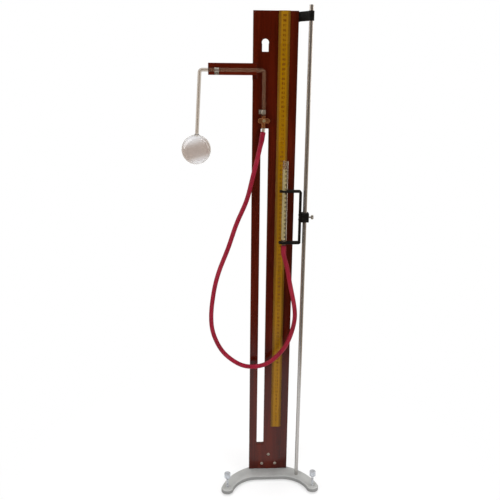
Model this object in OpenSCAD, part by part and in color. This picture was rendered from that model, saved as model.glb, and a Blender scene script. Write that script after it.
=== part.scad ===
// Charles law apparatus: a glass bulb and tube on a tall board, joined by a hose
// to an open reservoir that slides on a steel rod beside a metre scale.
// Millimetres, +Z up, the front of the board faces -Y.

/* [Board] */
// Width of the board
board_w = 98; // [80:1:130]
// Length of the board below the scale
board_foot = 125; // [90:5:250]
// Thickness of the board
board_t = 12; // [10:1:20]
// Width of the long slot
slot_w = 17.5; // [12:0.5:22]
// Distance from the foot of the board to the slot
slot_foot = 73; // [66:1:250]
// Distance from the top of the board to the slot
slot_drop = 248; // [240:1:280]
// Distance from the board's centre line to the slot, to the left
slot_off = 21; // [19:0.5:24]
// Diameter of the round top of the keyhole
keyhole_d = 16; // [10:0.5:20]
// Width of the straight part of the keyhole
keyhole_w = 14.5; // [8:0.5:15]
// Height of the keyhole
keyhole_h = 27; // [20:1:35]
// Distance from the top of the board to the keyhole
keyhole_drop = 57; // [40:1:70]
// Distance from the board's centre line to the keyhole, to the left
keyhole_off = 22; // [15:0.5:28]

/* [Metre scale] */
// Length of the scale
scale_l = 1000; // [900:10:1050]
// Width of the scale
scale_w = 25; // [18:0.5:30]
// Thickness of the scale
scale_t = 3; // [2:0.5:5]
// Width of the flat between the scale's two bevels
scale_flat = 13.5; // [8:0.5:16]
// Thickness of the scale at its bevelled edges
scale_rim = 1.5; // [0.5:0.25:1.75]
// Distance from the board's centre line to the scale's centre, to the right
scale_off = 18; // [14:0.5:24]

/* [Arm] */
// Length of the arm outside the board
arm_l = 97.5; // [80:0.5:130]
// Height of the arm
arm_h = 25.5; // [22:0.5:32]
// Distance from the top of the board to the arm
arm_drop = 108; // [95:1:125]
// Depth of the notch in the board's edge that holds the arm
notch_d = 9; // [6:0.5:12]
// Free height of the notch under the arm
notch_gap = 7; // [4:0.5:10]
// Thickness of the cleat behind the arm
cleat_t = 10; // [6:1:16]
// Height of the cleat
cleat_h = 22; // [16:1:22]
// Length of the cleat behind the arm
cleat_out = 84; // [60:1:95]
// Length of the cleat behind the board
cleat_in = 54; // [50:1:60]

/* [Glass] */
// Outside diameter of the glass tube
tube_d = 8; // [6:0.5:10]
// Bore of the glass tube
tube_bore = 2; // [1:0.25:4]
// Gap between the glass tube and the board
tube_gap = 0.5; // [0.5:0.25:0.75]
// Height of the tube's level run under the arm's centre line
tube_low = 2; // [0:0.5:4]
// Distance from the board's centre line to the upright run, to the left
tube_off = 24.5; // [22:0.5:27]
// Radius of the tube's bends, to its centre line
bend_r = 6; // [5.5:0.5:14]
// Distance from the end of the arm to the bulb's stem
stem_out = 18; // [14:0.5:26]
// Length of the stem, from the level run to the centre of the bulb
stem_l = 172; // [140:1:185]
// Lean of the stem away from the board, in degrees
stem_lean = 3.3; // [0:0.1:6]
// Outside diameter of the bulb
bulb_d = 65; // [50:1:75]
// Wall of the bulb
bulb_wall = 1.5; // [1:0.25:3]

/* [Tube clips] */
// Width of a clip
clip_w = 9.5; // [8:0.5:12]
// Thickness of a clip's strip
clip_t = 0.8; // [0.5:0.1:1.5]
// Length of a clip's ear
clip_ear = 5.75; // [5.75:0.25:9]
// Distance from the end of the arm to the arm clip
arm_clip_in = 19; // [12:1:60]
// Distance from the top of the stopcock to the board clip
board_clip_up = 8.5; // [7:0.5:30]

/* [Stopcock] */
// Distance from the top of the board to the stopcock
cock_drop = 220; // [205:1:220]
// Length of the stopcock's body
cock_l = 26; // [25:0.5:27]
// Diameter of the stopcock's body
cock_d = 9.6; // [9.2:0.1:10]
// Diameter of the barrel that holds the key
barrel_d = 13; // [11:0.5:14]
// Length of the barrel
barrel_l = 12; // [11:0.5:14]
// Depth of the sockets for the glass tubes
socket_l = 6; // [4:0.5:6]
// Diameter of the key's plug
plug_d = 7; // [6.5:0.25:8]
// Diameter of the key's stem
key_stem_d = 5; // [4:0.25:5.5]
// Length of the wing handle
wing_l = 26.5; // [20:0.5:30]
// Height of the wing handle's ends
wing_h = 11.5; // [8:0.5:12]
// Thickness of the wing handle
wing_t = 3.5; // [2.5:0.5:5]
// Size of the gland nut across its flats
nut_af = 11; // [9:0.5:12]
// Length of the gland nut
nut_l = 4; // [3:0.5:6]
// Length of the outlet tube that shows above the hose
outlet_l = 5; // [4:0.5:10]

/* [Hose] */
// Outside diameter of the hose
hose_d = 10.5; // [9:0.5:12]
// Bore of the hose
hose_bore = 6; // [4:0.5:7]
// Wall of the hose where it is stretched over a tube
hose_end_wall = 1.8; // [1.5:0.1:2.2]
// Length of tube that the hose grips
hose_grip = 18; // [12:1:20]

/* [Rod and carriage] */
// Diameter of the rod
rod_d = 9; // [8:0.5:10]
// Distance from the edge of the board to the rod's centre
rod_out = 22.5; // [20:0.5:28]
// Distance from the front of the board to the rod's centre
rod_front = 26.5; // [24:0.5:30]
// Height of the rod above the board
rod_rise = 10; // [4:1:20]
// Height of the carriage above the foot of the board
carriage_h = 680; // [640:1:700]
// Width of the clamp block
block_w = 17.5; // [17:0.5:22]
// Depth of the clamp block
block_d = 20; // [16:0.5:24]
// Height of the clamp block
block_h = 21; // [18:0.5:26]
// Width of the bracket's strip
strip_w = 17; // [16.5:0.5:22]
// Thickness of the bracket's strip
strip_t = 4.5; // [2.5:0.5:5]
// Distance between the bracket's arms, to their middles
arms_apart = 120; // [100:1:140]
// Length of the bracket's arms past the reservoir's centre
arm_tip = 12; // [10:0.5:16]
// Outside radius of the bracket's bends
strip_r = 5; // [5:0.5:10]
// Diameter of the thumb screw's shank
thumb_d = 4; // [3:0.5:6]
// Diameter of the thumb screw's head
thumb_head_d = 10; // [8:0.5:14]
// Length of the thumb screw's head
thumb_head_l = 5; // [4:0.5:8]
// Length of shank that shows beside the block
thumb_gap = 6; // [3:0.5:10]

/* [Reservoir] */
// Outside diameter of the reservoir
res_d = 12.5; // [11:0.5:14]
// Bore of the reservoir
res_bore = 10; // [8:0.5:10.5]
// Length of the reservoir above its seat
res_l = 186; // [150:1:220]
// Distance from the rod to the reservoir
res_off = 46.5; // [40:0.5:55]
// Outside diameter of the reservoir's nozzle
nozzle_d = 8; // [7:0.5:8]
// Bore of the nozzles
nozzle_bore = 3; // [2:0.5:4]

/* [Top bracket] */
// Height of the top bracket
top_h = 20; // [16:1:26]
// Thickness of the top bracket's strip
top_t = 3; // [2:0.5:5]
// Outside diameter of the ring round the rod
ring_d = 12.5; // [12:0.5:18]
// Distance from the top of the board to the top bracket
top_drop = 2; // [1:0.5:20]

/* [Base] */
// Thickness of the base casting
base_t = 10; // [8:0.5:14]
// Radius of the base's outer edge
base_r = 127; // [115:1:140]
// Distance from the front of the board to the centre of the outer edge
base_front = 108; // [100:1:112]
// Distance from the front of the board to the middle of the front edge
base_mid = 33; // [31:0.5:40]
// Radius of the arch between the front legs
arch_r = 64; // [55:1:70]
// Length of the straight middle of the arch
arch_flat = 63; // [40:1:70]
// Radius of the rounded ends of the front legs
foot_r = 15; // [13:0.5:18]
// Distance from the front of the board to the front feet
foot_front = 73; // [70:1:85]
// Distance from the front of the board back to the rear foot
rear_back = 82; // [70:1:110]
// Radius of the rear foot
rear_r = 15; // [12:0.5:20]
// Width of the rear leg where it leaves the base
rear_w = 68; // [66:1:80]
// Width of the upright lug
lug_w = 64; // [56:1:66]
// Height of the upright lug
lug_h = 58; // [54:1:70]
// Thickness of the upright lug
lug_t = 10; // [8:0.5:14]
// Thickness of the rib behind the lug
rib_t = 8; // [6:0.5:12]
// Depth of the rod's socket in the base
rod_seat = 8; // [5:0.5:9]
// Diameter of the rear foot pad
pad_d = 24; // [16:1:26]

/* [Levelling screws] */
// Diameter of a levelling screw
level_d = 6; // [5:0.5:8]
// Diameter of a levelling screw's head
level_head_d = 15; // [12:0.5:20]
// Height of a levelling screw's head
level_head_h = 12; // [8:0.5:16]
// Height of the head above the foot
level_rise = 29; // [20:1:36]
// Height of the casting above the table
level_tip = 4; // [3:0.5:8]

/* [Hidden] */
$fn = 96;

// Radial running clearance, clearance of a seated piece, and gap between turning faces
running = 0.05;
seated = 0.1;
turning = 0.3;

// Wood screws: head and shank
screw_head_d = 8;
screw_head_h = 2.6;
screw_d = 4;
small_head_d = 5.5;
small_head_h = 1.8;
small_d = 2.5;
slot_cut = 1;
slot_deep = 0.9;

// Heights
board_h = scale_l + board_foot;
slot_l = board_h - slot_drop - slot_foot;
foot_z = level_tip + base_t;
top_z = foot_z + board_h;
arm_top = top_z - arm_drop;
arm_low = arm_top - arm_h;
tube_z = (arm_top + arm_low) / 2 - tube_low;
cock_top = top_z - cock_drop;
cock_low = cock_top - cock_l;
key_z = cock_low + cock_l * 0.62;
carriage_z = foot_z + carriage_h;
seat_z = carriage_z - arms_apart / 2 + strip_t / 2;
nozzle_l = strip_t + 4 + hose_grip;

// Step in the wall where two lengths of glass are sealed together
seal = 0.2;

// Places across and along the depth, from the middle of the board's front
edge_x = board_w / 2;
arm_x = -edge_x - arm_l;
stem_x = arm_x - stem_out;
tube_x = -tube_off;
tube_y = -tube_d / 2 - tube_gap;
rod_x = edge_x + rod_out;
rod_y = -rod_front;
res_x = rod_x - res_off;
block_x = rod_x - block_w / 2;
thumb_x = block_x + block_w + thumb_gap;
foot_y = -foot_front;
foot_x = sqrt(pow(base_r - foot_r, 2) - pow(base_front - foot_front, 2));
lug_y = board_t;

// Board screws: a pair and one above it, from the foot of the board
fix_low = 16;
fix_high = 42.5;
fix_apart = 34;
fix_x = 1;
fix_l = board_t + lug_t - 1;

// Screws of the cleat, from behind
cleat_z = (arm_top + arm_low) / 2;
cleat_xs = [-edge_x - cleat_out + 12, -edge_x - 20, -edge_x + notch_d + 10, -edge_x + cleat_in - 10];
cleat_screw_l = cleat_t + board_t - 3;

// Places of the clips and of their screws
clip_in_r = tube_d / 2 + seated;
clip_out_r = clip_in_r + clip_t;
ear_mid = clip_out_r + clip_ear / 2;
arm_clip_x = arm_x + arm_clip_in;
board_clip_z = cock_top + board_clip_up;
clip_screw_l = 9;

// Floor behind the stopcock's key, and the screws that hold the carriage's bracket
key_back = 0.8;
bracket_screw_l = strip_t + 3;

// Bulb centre, and the box of the whole object, which sets the origin
bulb_x = stem_x - stem_l * sin(stem_lean);
bulb_z = tube_z - stem_l * cos(stem_lean);
left_x = bulb_x - bulb_d / 2;
right_x = max(foot_x + foot_r, thumb_x + thumb_head_l);
mid_x = (left_x + right_x) / 2;
mid_y = (rear_back + rear_r + foot_y - foot_r) / 2;

// Outlet of the stopcock: it leans to the left and to the front
outlet_drop = 2;
outlet_r = 10;
outlet_lean = 15.5;
outlet_way = 232;
outlet_side = [cos(outlet_way), sin(outlet_way), 0];
outlet_dir = sin(outlet_lean) * outlet_side - [0, 0, cos(outlet_lean)];
outlet_from = [tube_x, tube_y, cock_low - outlet_drop];
hose_from = outlet_from + outlet_r * (1 - cos(outlet_lean)) * outlet_side
    - [0, 0, outlet_r * sin(outlet_lean)] + outlet_l * outlet_dir;

// Where the hose meets the reservoir's nozzle
hose_to = [res_x, rod_y, seat_z - nozzle_l + hose_grip];

// Route of the hose: from the end of the outlet down to its leftmost point
left_points = [
    [-28.5, -9.6, 866.2], [-34, -14, 842], [-38.5, -15.5, 822], [-44, -16, 800], [-52, -16, 766],
    [-61, -16, 732], [-70.5, -16, 708], [-81, -16, 684], [-93, -16, 650], [-105, -16, 614],
    [-119, -16, 578], [-131, -17, 541], [-140, -17, 494], [-144, -17, 448]];
// and from there round the bottom of the loop up to the nozzle of the reservoir
right_points = [
    [-144, -17, 448], [-141.5, -18, 416], [-133, -18, 388], [-117, -19, 359], [-94, -19, 336],
    [-67, -20, 321], [-40, -20, 317.5], [-12, -20, 324], [13, -21, 343], [37, -22, 375],
    [51, -23, 414], [56, -24, 446], [55, -25, 468], [50.5, -26, 494], [40.5, -26.5, 541],
    [31, -26.5, 585], [25, -26.5, 609.75]];
// Direction of the hose where its two runs meet
meet_way = unit(right_points[1] - left_points[len(left_points) - 2]);
hose_sides = 10;
hose_in = hose_bore / 2;
hose_out = hose_d / 2;
hose_end_in = (max(tube_d, nozzle_d) / 2 + seated) / cos(180 / hose_sides);
hose_end_out = hose_end_in + hose_end_wall;

function unit(v) = v / norm(v);

// Moves a piece from the board's own place to the object's origin
module placed() {
    translate([-mid_x, -mid_y, 0]) children();
}

// Round-headed screw along Z: the head stands above z = 0, the shank below
module round_screw(head_d, head_h, d, l) {
    ball_r = (head_d * head_d / 4 + head_h * head_h) / (2 * head_h);
    difference() {
        intersection() {
            translate([0, 0, head_h - ball_r]) sphere(ball_r);
            cylinder(d = head_d, h = head_h);
        }
        translate([-head_d, -slot_cut / 2, head_h - slot_deep]) cube([2 * head_d, slot_cut, head_h]);
    }
    translate([0, 0, -l]) cylinder(d = d, h = l);
}

// Directions of a screw's head
module facing_front() rotate([90, 0, 0]) children();
module facing_back() rotate([-90, 0, 0]) children();
module facing_right() rotate([0, 90, 0]) children();
module facing_left() rotate([0, -90, 0]) children();

// Copies at the three screws that hold the board
module at_board_screws() {
    for (p = [[fix_x - fix_apart / 2, fix_low], [fix_x + fix_apart / 2, fix_low], [fix_x, fix_high]])
        translate([p.x, 0, foot_z + p.y]) children();
}

// Copies at the two screws of the top bracket
module at_top_screws() {
    for (side = [-1, 1])
        translate([edge_x + top_t, board_t / 2, top_z - top_drop - top_h / 2 + side * top_h / 4])
            children();
}

// Copies at the screws of the cleat
module at_cleat_screws() {
    for (x = cleat_xs) translate([x, board_t + cleat_t, cleat_z]) children();
}

// Copies at the screws of the two clips
module at_clip_screws() {
    translate([arm_clip_x, -clip_t, tube_z - ear_mid]) children();
    translate([tube_x - ear_mid, -clip_t, board_clip_z]) children();
}

// Outline of the base seen from above
module base_outline() {
    difference() {
        translate([0, -base_front]) circle(base_r);
        for (side = [-1, 1]) translate([side * arch_flat / 2, -base_mid - arch_r]) circle(arch_r);
        translate([-arch_flat / 2, -base_mid - arch_r - base_r]) square([arch_flat, arch_r + base_r]);
        translate([-2 * base_r, foot_y - 4 * base_r]) square(4 * base_r);
    }
    for (side = [-1, 1]) translate([side * foot_x, foot_y]) circle(foot_r);
    polygon([[-rear_w / 2, 0], [rear_w / 2, 0], [rear_w / 2, lug_y + lug_t],
        [rear_r, rear_back], [-rear_r, rear_back], [-rear_w / 2, lug_y + lug_t]]);
    translate([0, rear_back]) circle(rear_r);
}

module base_casting() placed() color([0.62, 0.63, 0.62]) difference() {
    union() {
        translate([0, 0, level_tip]) linear_extrude(base_t) base_outline();
        translate([-lug_w / 2, lug_y, foot_z]) cube([lug_w, lug_t, lug_h]);
        translate([-rib_t / 2, 0, 0]) rotate([90, 0, 90]) linear_extrude(rib_t)
            polygon([[lug_y + lug_t, foot_z], [rear_back - rear_r, foot_z],
                [lug_y + lug_t, foot_z + lug_h - 8]]);
    }
    for (side = [-1, 1]) translate([side * foot_x, foot_y, 0])
        cylinder(d = level_d + 2 * running, h = 2 * foot_z);
    translate([rod_x, rod_y, foot_z - rod_seat]) cylinder(d = rod_d + 2 * running, h = 2 * rod_seat);
    at_board_screws() translate([0, lug_y - 1, 0]) facing_back()
        cylinder(d = screw_d + 2 * seated, h = lug_t + 2);
}

module rear_foot_pad() placed() color([0.1, 0.1, 0.1])
    translate([0, rear_back, 0]) cylinder(d = pad_d, h = level_tip);

// Levelling screw: knurled head with bevelled rims, plain shank and blunt tip
module levelling_screw(side) placed() color([0.8, 0.8, 0.82]) translate([side * foot_x, foot_y, 0]) {
    rim = 1;
    head_z = foot_z + level_rise;
    rotate_extrude() polygon([[0, 0], [level_d / 2 - rim, 0], [level_d / 2, rim], [level_d / 2, head_z],
        [level_head_d / 2 - rim, head_z], [level_head_d / 2, head_z + rim],
        [level_head_d / 2, head_z + level_head_h - rim], [level_head_d / 2 - rim, head_z + level_head_h],
        [0, head_z + level_head_h]]);
}
module left_levelling_screw() levelling_screw(-1);
module right_levelling_screw() levelling_screw(1);

// Keyhole seen from the front, hanging down from the origin
module keyhole_outline() {
    translate([0, -keyhole_d / 2]) circle(d = keyhole_d);
    translate([-keyhole_w / 2, -keyhole_h]) square([keyhole_w, keyhole_h - keyhole_d / 2]);
}

module board() placed() color([0.3, 0.11, 0.05]) difference() {
    translate([-edge_x, 0, foot_z]) cube([board_w, board_t, board_h]);
    translate([-slot_off - slot_w / 2, -1, top_z - slot_drop - slot_l]) cube([slot_w, board_t + 2, slot_l]);
    translate([-keyhole_off, board_t + 1, top_z - keyhole_drop]) rotate([90, 0, 0])
        linear_extrude(board_t + 2) keyhole_outline();
    translate([-edge_x - 1, -1, arm_low - notch_gap]) cube([notch_d + 1, board_t + 2, arm_h + notch_gap]);
    at_board_screws() translate([0, -1, 0]) facing_back()
        cylinder(d = screw_d + 2 * seated, h = board_t + 2);
    at_top_screws() facing_left() cylinder(d = small_d + 2 * seated, h = 2 * board_t + top_t + 1);
    at_cleat_screws() facing_front() cylinder(d = small_d + 2 * seated, h = cleat_screw_l + 1);
    at_clip_screws() facing_back() cylinder(d = small_d + 2 * seated, h = clip_screw_l + 1);
}

module board_screws() placed() color([0.75, 0.74, 0.72])
    at_board_screws() facing_front() round_screw(screw_head_d, screw_head_h, screw_d, fix_l);

module metre_scale() placed() color([0.7, 0.52, 0.12])
    translate([scale_off, 0, top_z - scale_l]) linear_extrude(scale_l) polygon([
        [-scale_w / 2, 0], [scale_w / 2, 0], [scale_w / 2, -scale_rim], [scale_flat / 2, -scale_t],
        [-scale_flat / 2, -scale_t], [-scale_w / 2, -scale_rim]]);

module arm() placed() color([0.3, 0.11, 0.05]) difference() {
    translate([arm_x, 0, arm_low]) cube([arm_l + notch_d, board_t, arm_h]);
    at_cleat_screws() facing_front() cylinder(d = small_d + 2 * seated, h = cleat_screw_l + 1);
    at_clip_screws() facing_back() cylinder(d = small_d + 2 * seated, h = clip_screw_l + 1);
}

// Cleat behind the arm, deeper where it covers the notch
module arm_cleat() placed() color([0.34, 0.15, 0.08]) difference() {
    translate([-edge_x, board_t, 0]) {
        translate([-cleat_out, 0, cleat_z - cleat_h / 2]) cube([cleat_out + cleat_in, cleat_t, cleat_h]);
        translate([0, 0, arm_low - notch_gap - 3]) cube([cleat_in, cleat_t, arm_h / 2 + notch_gap + 3]);
    }
    at_cleat_screws() translate([0, 1, 0]) facing_front()
        cylinder(d = small_d + 2 * seated, h = cleat_t + 2);
}

module cleat_screws() placed() color([0.7, 0.68, 0.62])
    at_cleat_screws() facing_back() round_screw(small_head_d, small_head_h, small_d, cleat_screw_l);

// Wall of a glass tube, cut across
module tube_wall(bore, d = tube_d) difference() {
    circle(d = d);
    circle(d = bore);
}

// Straight tube along Z, and a bend that starts at the right and turns to the left
module straight(bore, l, d = tube_d) linear_extrude(l) tube_wall(bore, d);
module bend(bore, r, angle) rotate([90, 0, 0]) rotate_extrude(angle = angle)
    translate([r, 0]) tube_wall(bore);

// Section of the stem and the bulb at its far end, on one side of their axis.
// The stem starts a little inside the tube's bend, and its wall is thicker by the seal.
module bulb_section(l) intersection() {
    difference() {
        union() {
            translate([0, l]) circle(d = bulb_d);
            translate([0, -seal]) square([tube_d / 2 + seal, l + seal]);
        }
        translate([0, l]) circle(d = bulb_d - 2 * bulb_wall);
        translate([0, -1]) square([tube_bore / 2 - seal, l + 1]);
    }
    translate([0, -1]) square([bulb_d, l + bulb_d]);
}

module bulb_and_tube() placed() color([0.8, 0.87, 0.86]) translate([0, tube_y, 0]) {
    turn = 90 - stem_lean;
    tangent = bend_r * tan(turn / 2);
    run_from = stem_x + tangent;
    run_to = tube_x - bend_r;
    tail = tube_z - bend_r - cock_top + socket_l - seated;
    level = run_to - run_from;
    translate([run_from, 0, tube_z - bend_r]) {
        rotate([0, -90, 0]) {
            bend(tube_bore, bend_r, turn);
            rotate([0, -turn, 0]) translate([bend_r, 0, 0]) rotate_extrude() bulb_section(stem_l - tangent);
        }
        translate([0, 0, bend_r]) rotate([0, 90, 0]) straight(tube_bore, level);
        translate([level, 0, 0]) bend(tube_bore, bend_r, 90);
        translate([level + bend_r, 0, -tail]) straight(tube_bore, tail);
    }
}

// Half saddle over the tube: the strip rises from its ear, goes over and stops on the wood
module saddle() {
    linear_extrude(clip_w, center = true) {
        difference() {
            union() {
                translate([0, -tube_y]) circle(clip_out_r);
                translate([-clip_out_r, 0]) square([2 * clip_out_r, -tube_y]);
            }
            translate([0, -tube_y]) circle(clip_in_r);
            translate([-clip_in_r, -1]) square([2 * clip_in_r, 1 - tube_y]);
        }
        translate([-clip_out_r - clip_ear, 0]) square([clip_ear + clip_t / 2, clip_t]);
    }
}

// Saddle with its screw hole; the ear points along -X and the crown along +Y
module clip() difference() {
    saddle();
    translate([-ear_mid, -1, 0]) rotate([-90, 0, 0]) cylinder(d = small_d + 2 * seated, h = clip_t + 2);
}

module arm_clip() placed() color([0.7, 0.68, 0.62])
    translate([arm_clip_x, 0, tube_z]) rotate([0, -90, 0]) mirror([0, 1, 0]) clip();

module board_clip() placed() color([0.7, 0.68, 0.62])
    translate([tube_x, 0, board_clip_z]) mirror([0, 1, 0]) clip();

module clip_screws() placed() color([0.7, 0.68, 0.62])
    at_clip_screws() facing_front() round_screw(small_head_d, small_head_h, small_d, clip_screw_l);

// Stopcock body: an upright tube with a barrel across it, flat against the board
module stopcock_body() placed() color([0.7, 0.45, 0.22]) difference() {
    union() {
        intersection() {
            translate([tube_x, tube_y, cock_low]) cylinder(d = cock_d, h = cock_l);
            translate([tube_x - cock_d, -2 * cock_d, cock_low]) cube([2 * cock_d, 2 * cock_d, cock_l]);
        }
        translate([tube_x, 0, key_z]) facing_front() cylinder(d = barrel_d, h = barrel_l);
    }
    translate([tube_x, tube_y, cock_low - 1]) cylinder(d = nozzle_bore, h = cock_l + 2);
    translate([tube_x, tube_y, cock_top - socket_l]) cylinder(d = tube_d + 2 * seated, h = socket_l + 1);
    translate([tube_x, tube_y, cock_low - 1]) cylinder(d = tube_d + 2 * seated, h = socket_l + 1);
    translate([tube_x, -key_back, key_z]) facing_front() cylinder(d = plug_d + 2 * running, h = barrel_l);
}

// Key: a plug with a cross bore, a stem through the gland nut and a wing handle, closed
module stopcock_key() placed() color([0.75, 0.5, 0.26])
    translate([tube_x, 0, key_z]) facing_front() difference() {
        wing_z = barrel_l + nut_l + turning;
        union() {
            translate([0, 0, key_back + turning]) cylinder(d = plug_d, h = barrel_l - key_back - 2 * turning);
            translate([0, 0, barrel_l / 2]) cylinder(d = key_stem_d, h = wing_z + wing_t / 2 - barrel_l / 2);
            translate([0, 0, wing_z]) linear_extrude(wing_t) {
                circle(d = wing_h);
                translate([-wing_l / 2 + wing_h / 2, -wing_h / 4]) square([wing_l - wing_h, wing_h / 2]);
                for (side = [-1, 1]) translate([side * (wing_l - wing_h) / 2, 0]) circle(d = wing_h);
            }
        }
        translate([0, 0, -tube_y]) rotate([0, 90, 0])
            cylinder(d = nozzle_bore, h = 2 * plug_d, center = true);
    }

module gland_nut() placed() color([0.7, 0.45, 0.22])
    translate([tube_x, -barrel_l, key_z]) facing_front() difference() {
        cylinder(d = nut_af / cos(30), h = nut_l, $fn = 6);
        translate([0, 0, -1]) cylinder(d = key_stem_d + 2 * running, h = nut_l + 2);
    }

// Short glass outlet: upright in the stopcock, then leaning into the hose
module outlet_tube() placed() color([0.8, 0.87, 0.86]) translate(outlet_from) rotate(outlet_way) {
    straight(nozzle_bore, outlet_drop + socket_l - seated);
    translate([outlet_r, 0, 0]) rotate([0, 180, 0]) bend(nozzle_bore, outlet_r, outlet_lean);
    translate([outlet_r * (1 - cos(outlet_lean)), 0, -outlet_r * sin(outlet_lean)])
        rotate([0, 180 - outlet_lean, 0]) translate([0, 0, -seal])
            straight(nozzle_bore + 2 * seal, outlet_l + hose_grip + seal, tube_d - 2 * seal);
}

// Hose: rings of a hollow section square to the route at each of its points
function hose_ways(p, first, last) = [for (i = [0 : len(p) - 1])
    i == 0 ? first : i == len(p) - 1 ? last : unit(p[i + 1] - p[i - 1])];
function ring(c, way, r) =
    let (u = unit(cross(way, [0, 1, 0])), v = cross(u, way), step = 360 / hose_sides)
    [for (k = [0 : hose_sides - 1]) c + r * (cos(k * step) * u + sin(k * step) * v)];
// The difference between a route's ends and the fittings is spread along the route
function fitted(p, from, to) = [for (i = [0 : len(p) - 1])
    let (f = i / (len(p) - 1)) p[i] + (1 - f) * (from - p[0]) + f * (to - p[len(p) - 1])];
function band(a, b) = [for (k = [0 : hose_sides - 1])
    let (n = (k + 1) % hose_sides) each [[a + k, b + k, b + n], [a + k, b + n, a + n]]];

module hose_run(points, ways, wide) {
    count = len(points);
    inner = count * hose_sides;
    rings = [for (i = [0 : count - 1])
        each ring(points[i], ways[i], wide[i] ? hose_end_out : hose_out)];
    bores = [for (i = [0 : count - 1])
        each ring(points[i], ways[i], wide[i] ? hose_end_in : hose_in)];
    last = (count - 1) * hose_sides;
    skin = [for (i = [0 : count - 2]) each band(i * hose_sides, (i + 1) * hose_sides)];
    lining = [for (i = [0 : count - 2]) each band(inner + (i + 1) * hose_sides, inner + i * hose_sides)];
    polyhedron(concat(rings, bores), concat(skin, lining, band(inner, 0), band(last, inner + last)));
}

module hose_left_run() placed() color([0.6, 0.1, 0.17]) {
    grip_end = hose_from + hose_grip * outlet_dir;
    points = concat([hose_from], fitted(left_points, grip_end, right_points[0]));
    wide = [for (i = [0 : len(points) - 1]) i < 2];
    hose_run(points, hose_ways(points, outlet_dir, meet_way), wide);
}

module hose_right_run() placed() color([0.6, 0.1, 0.17]) {
    grip_end = hose_to - [0, 0, hose_grip];
    points = concat(fitted(right_points, right_points[0], grip_end), [hose_to]);
    wide = [for (i = [0 : len(points) - 1]) i > len(points) - 3];
    hose_run(points, hose_ways(points, meet_way, [0, 0, 1]), wide);
}

module rod() placed() color([0.72, 0.7, 0.67])
    translate([rod_x, rod_y, foot_z - rod_seat]) cylinder(d = rod_d, h = rod_seat + board_h + rod_rise);

// Top bracket: a strip on the board's edge that bends forward to a ring round the rod
module top_bracket() placed() color([0.09, 0.08, 0.07]) difference() {
    reach = [rod_x - edge_x - top_t / 2, rod_y];
    translate([0, 0, top_z - top_drop - top_h]) linear_extrude(top_h) difference() {
        union() {
            translate([edge_x, 0]) square([top_t, board_t]);
            translate([edge_x + top_t / 2, 0]) circle(d = top_t);
            translate([edge_x + top_t / 2, 0]) rotate(atan2(reach.y, reach.x)) translate([0, -top_t / 2])
                square([norm(reach), top_t]);
            translate([rod_x, rod_y]) circle(d = ring_d);
        }
        translate([rod_x, rod_y]) circle(d = rod_d + 2 * running);
    }
    at_top_screws() translate([1, 0, 0]) facing_left() cylinder(d = small_d + 2 * seated, h = top_t + 2);
}

module top_bracket_screws() placed() color([0.7, 0.68, 0.62])
    at_top_screws() facing_right() round_screw(small_head_d, small_head_h, small_d, 2 * board_t);

// Copies at the two screws that hold the bracket to the clamp block
module at_bracket_screws() {
    for (side = [-1, 1]) translate([block_x - strip_t, rod_y, carriage_z + side * block_h / 4]) children();
}

module clamp_block() placed() color([0.09, 0.08, 0.07]) difference() {
    translate([block_x, rod_y - block_d / 2, carriage_z - block_h / 2]) cube([block_w, block_d, block_h]);
    translate([rod_x, rod_y, carriage_z - block_h]) cylinder(d = rod_d + 2 * running, h = 2 * block_h);
    translate([rod_x, rod_y, carriage_z]) facing_right() cylinder(d = thumb_d + 2 * running, h = block_w);
    at_bracket_screws() facing_right() cylinder(d = small_d + 2 * seated, h = bracket_screw_l + 0.2);
}

// Outline of the bracket from the front: a strip bent twice, open to the left
module bracket_outline() {
    half = (arms_apart + strip_t) / 2;
    length = block_x - res_x + arm_tip;
    bend = max(strip_r, strip_t + 0.5);
    round_r = bend - strip_t;
    difference() {
        union() {
            translate([-length, -half]) square([length - bend, 2 * half]);
            translate([-bend, -half + bend]) square([bend, 2 * half - 2 * bend]);
            for (side = [-1, 1]) translate([-bend, side * (half - bend)]) circle(bend);
        }
        translate([-length - 1, -half + strip_t]) square([length + 1 - bend, 2 * half - 2 * strip_t]);
        translate([-bend - 1, -half + bend]) square([1 + round_r, 2 * half - 2 * bend]);
        for (side = [-1, 1]) translate([-bend, side * (half - bend)]) circle(round_r);
    }
}

module carriage_bracket() placed() color([0.09, 0.08, 0.07]) difference() {
    translate([block_x, rod_y + strip_w / 2, carriage_z]) rotate([90, 0, 0]) linear_extrude(strip_w)
        bracket_outline();
    translate([res_x, rod_y, carriage_z]) cylinder(d = res_d + 2 * seated, h = arms_apart);
    translate([res_x, rod_y, carriage_z - arms_apart]) cylinder(d = nozzle_d + 2 * seated, h = arms_apart);
    at_bracket_screws() translate([-1, 0, 0]) facing_right()
        cylinder(d = small_d + 2 * seated, h = strip_t + 2);
}

module bracket_screws() placed() color([0.09, 0.08, 0.07])
    at_bracket_screws() facing_left() round_screw(small_head_d, small_head_h, small_d, bracket_screw_l);

// Thumb screw: its tip stops just short of the rod
module thumb_screw() placed() color([0.75, 0.74, 0.72]) {
    tip_x = rod_x + rod_d / 2 + turning;
    rim = 0.6;
    translate([tip_x, rod_y, carriage_z]) facing_right() cylinder(d = thumb_d, h = thumb_x - tip_x + 1);
    translate([thumb_x, rod_y, carriage_z]) facing_right() rotate_extrude()
        polygon([[0, 0], [thumb_head_d / 2 - rim, 0], [thumb_head_d / 2, rim],
            [thumb_head_d / 2, thumb_head_l - rim], [thumb_head_d / 2 - rim, thumb_head_l],
            [0, thumb_head_l]]);
}

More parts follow.
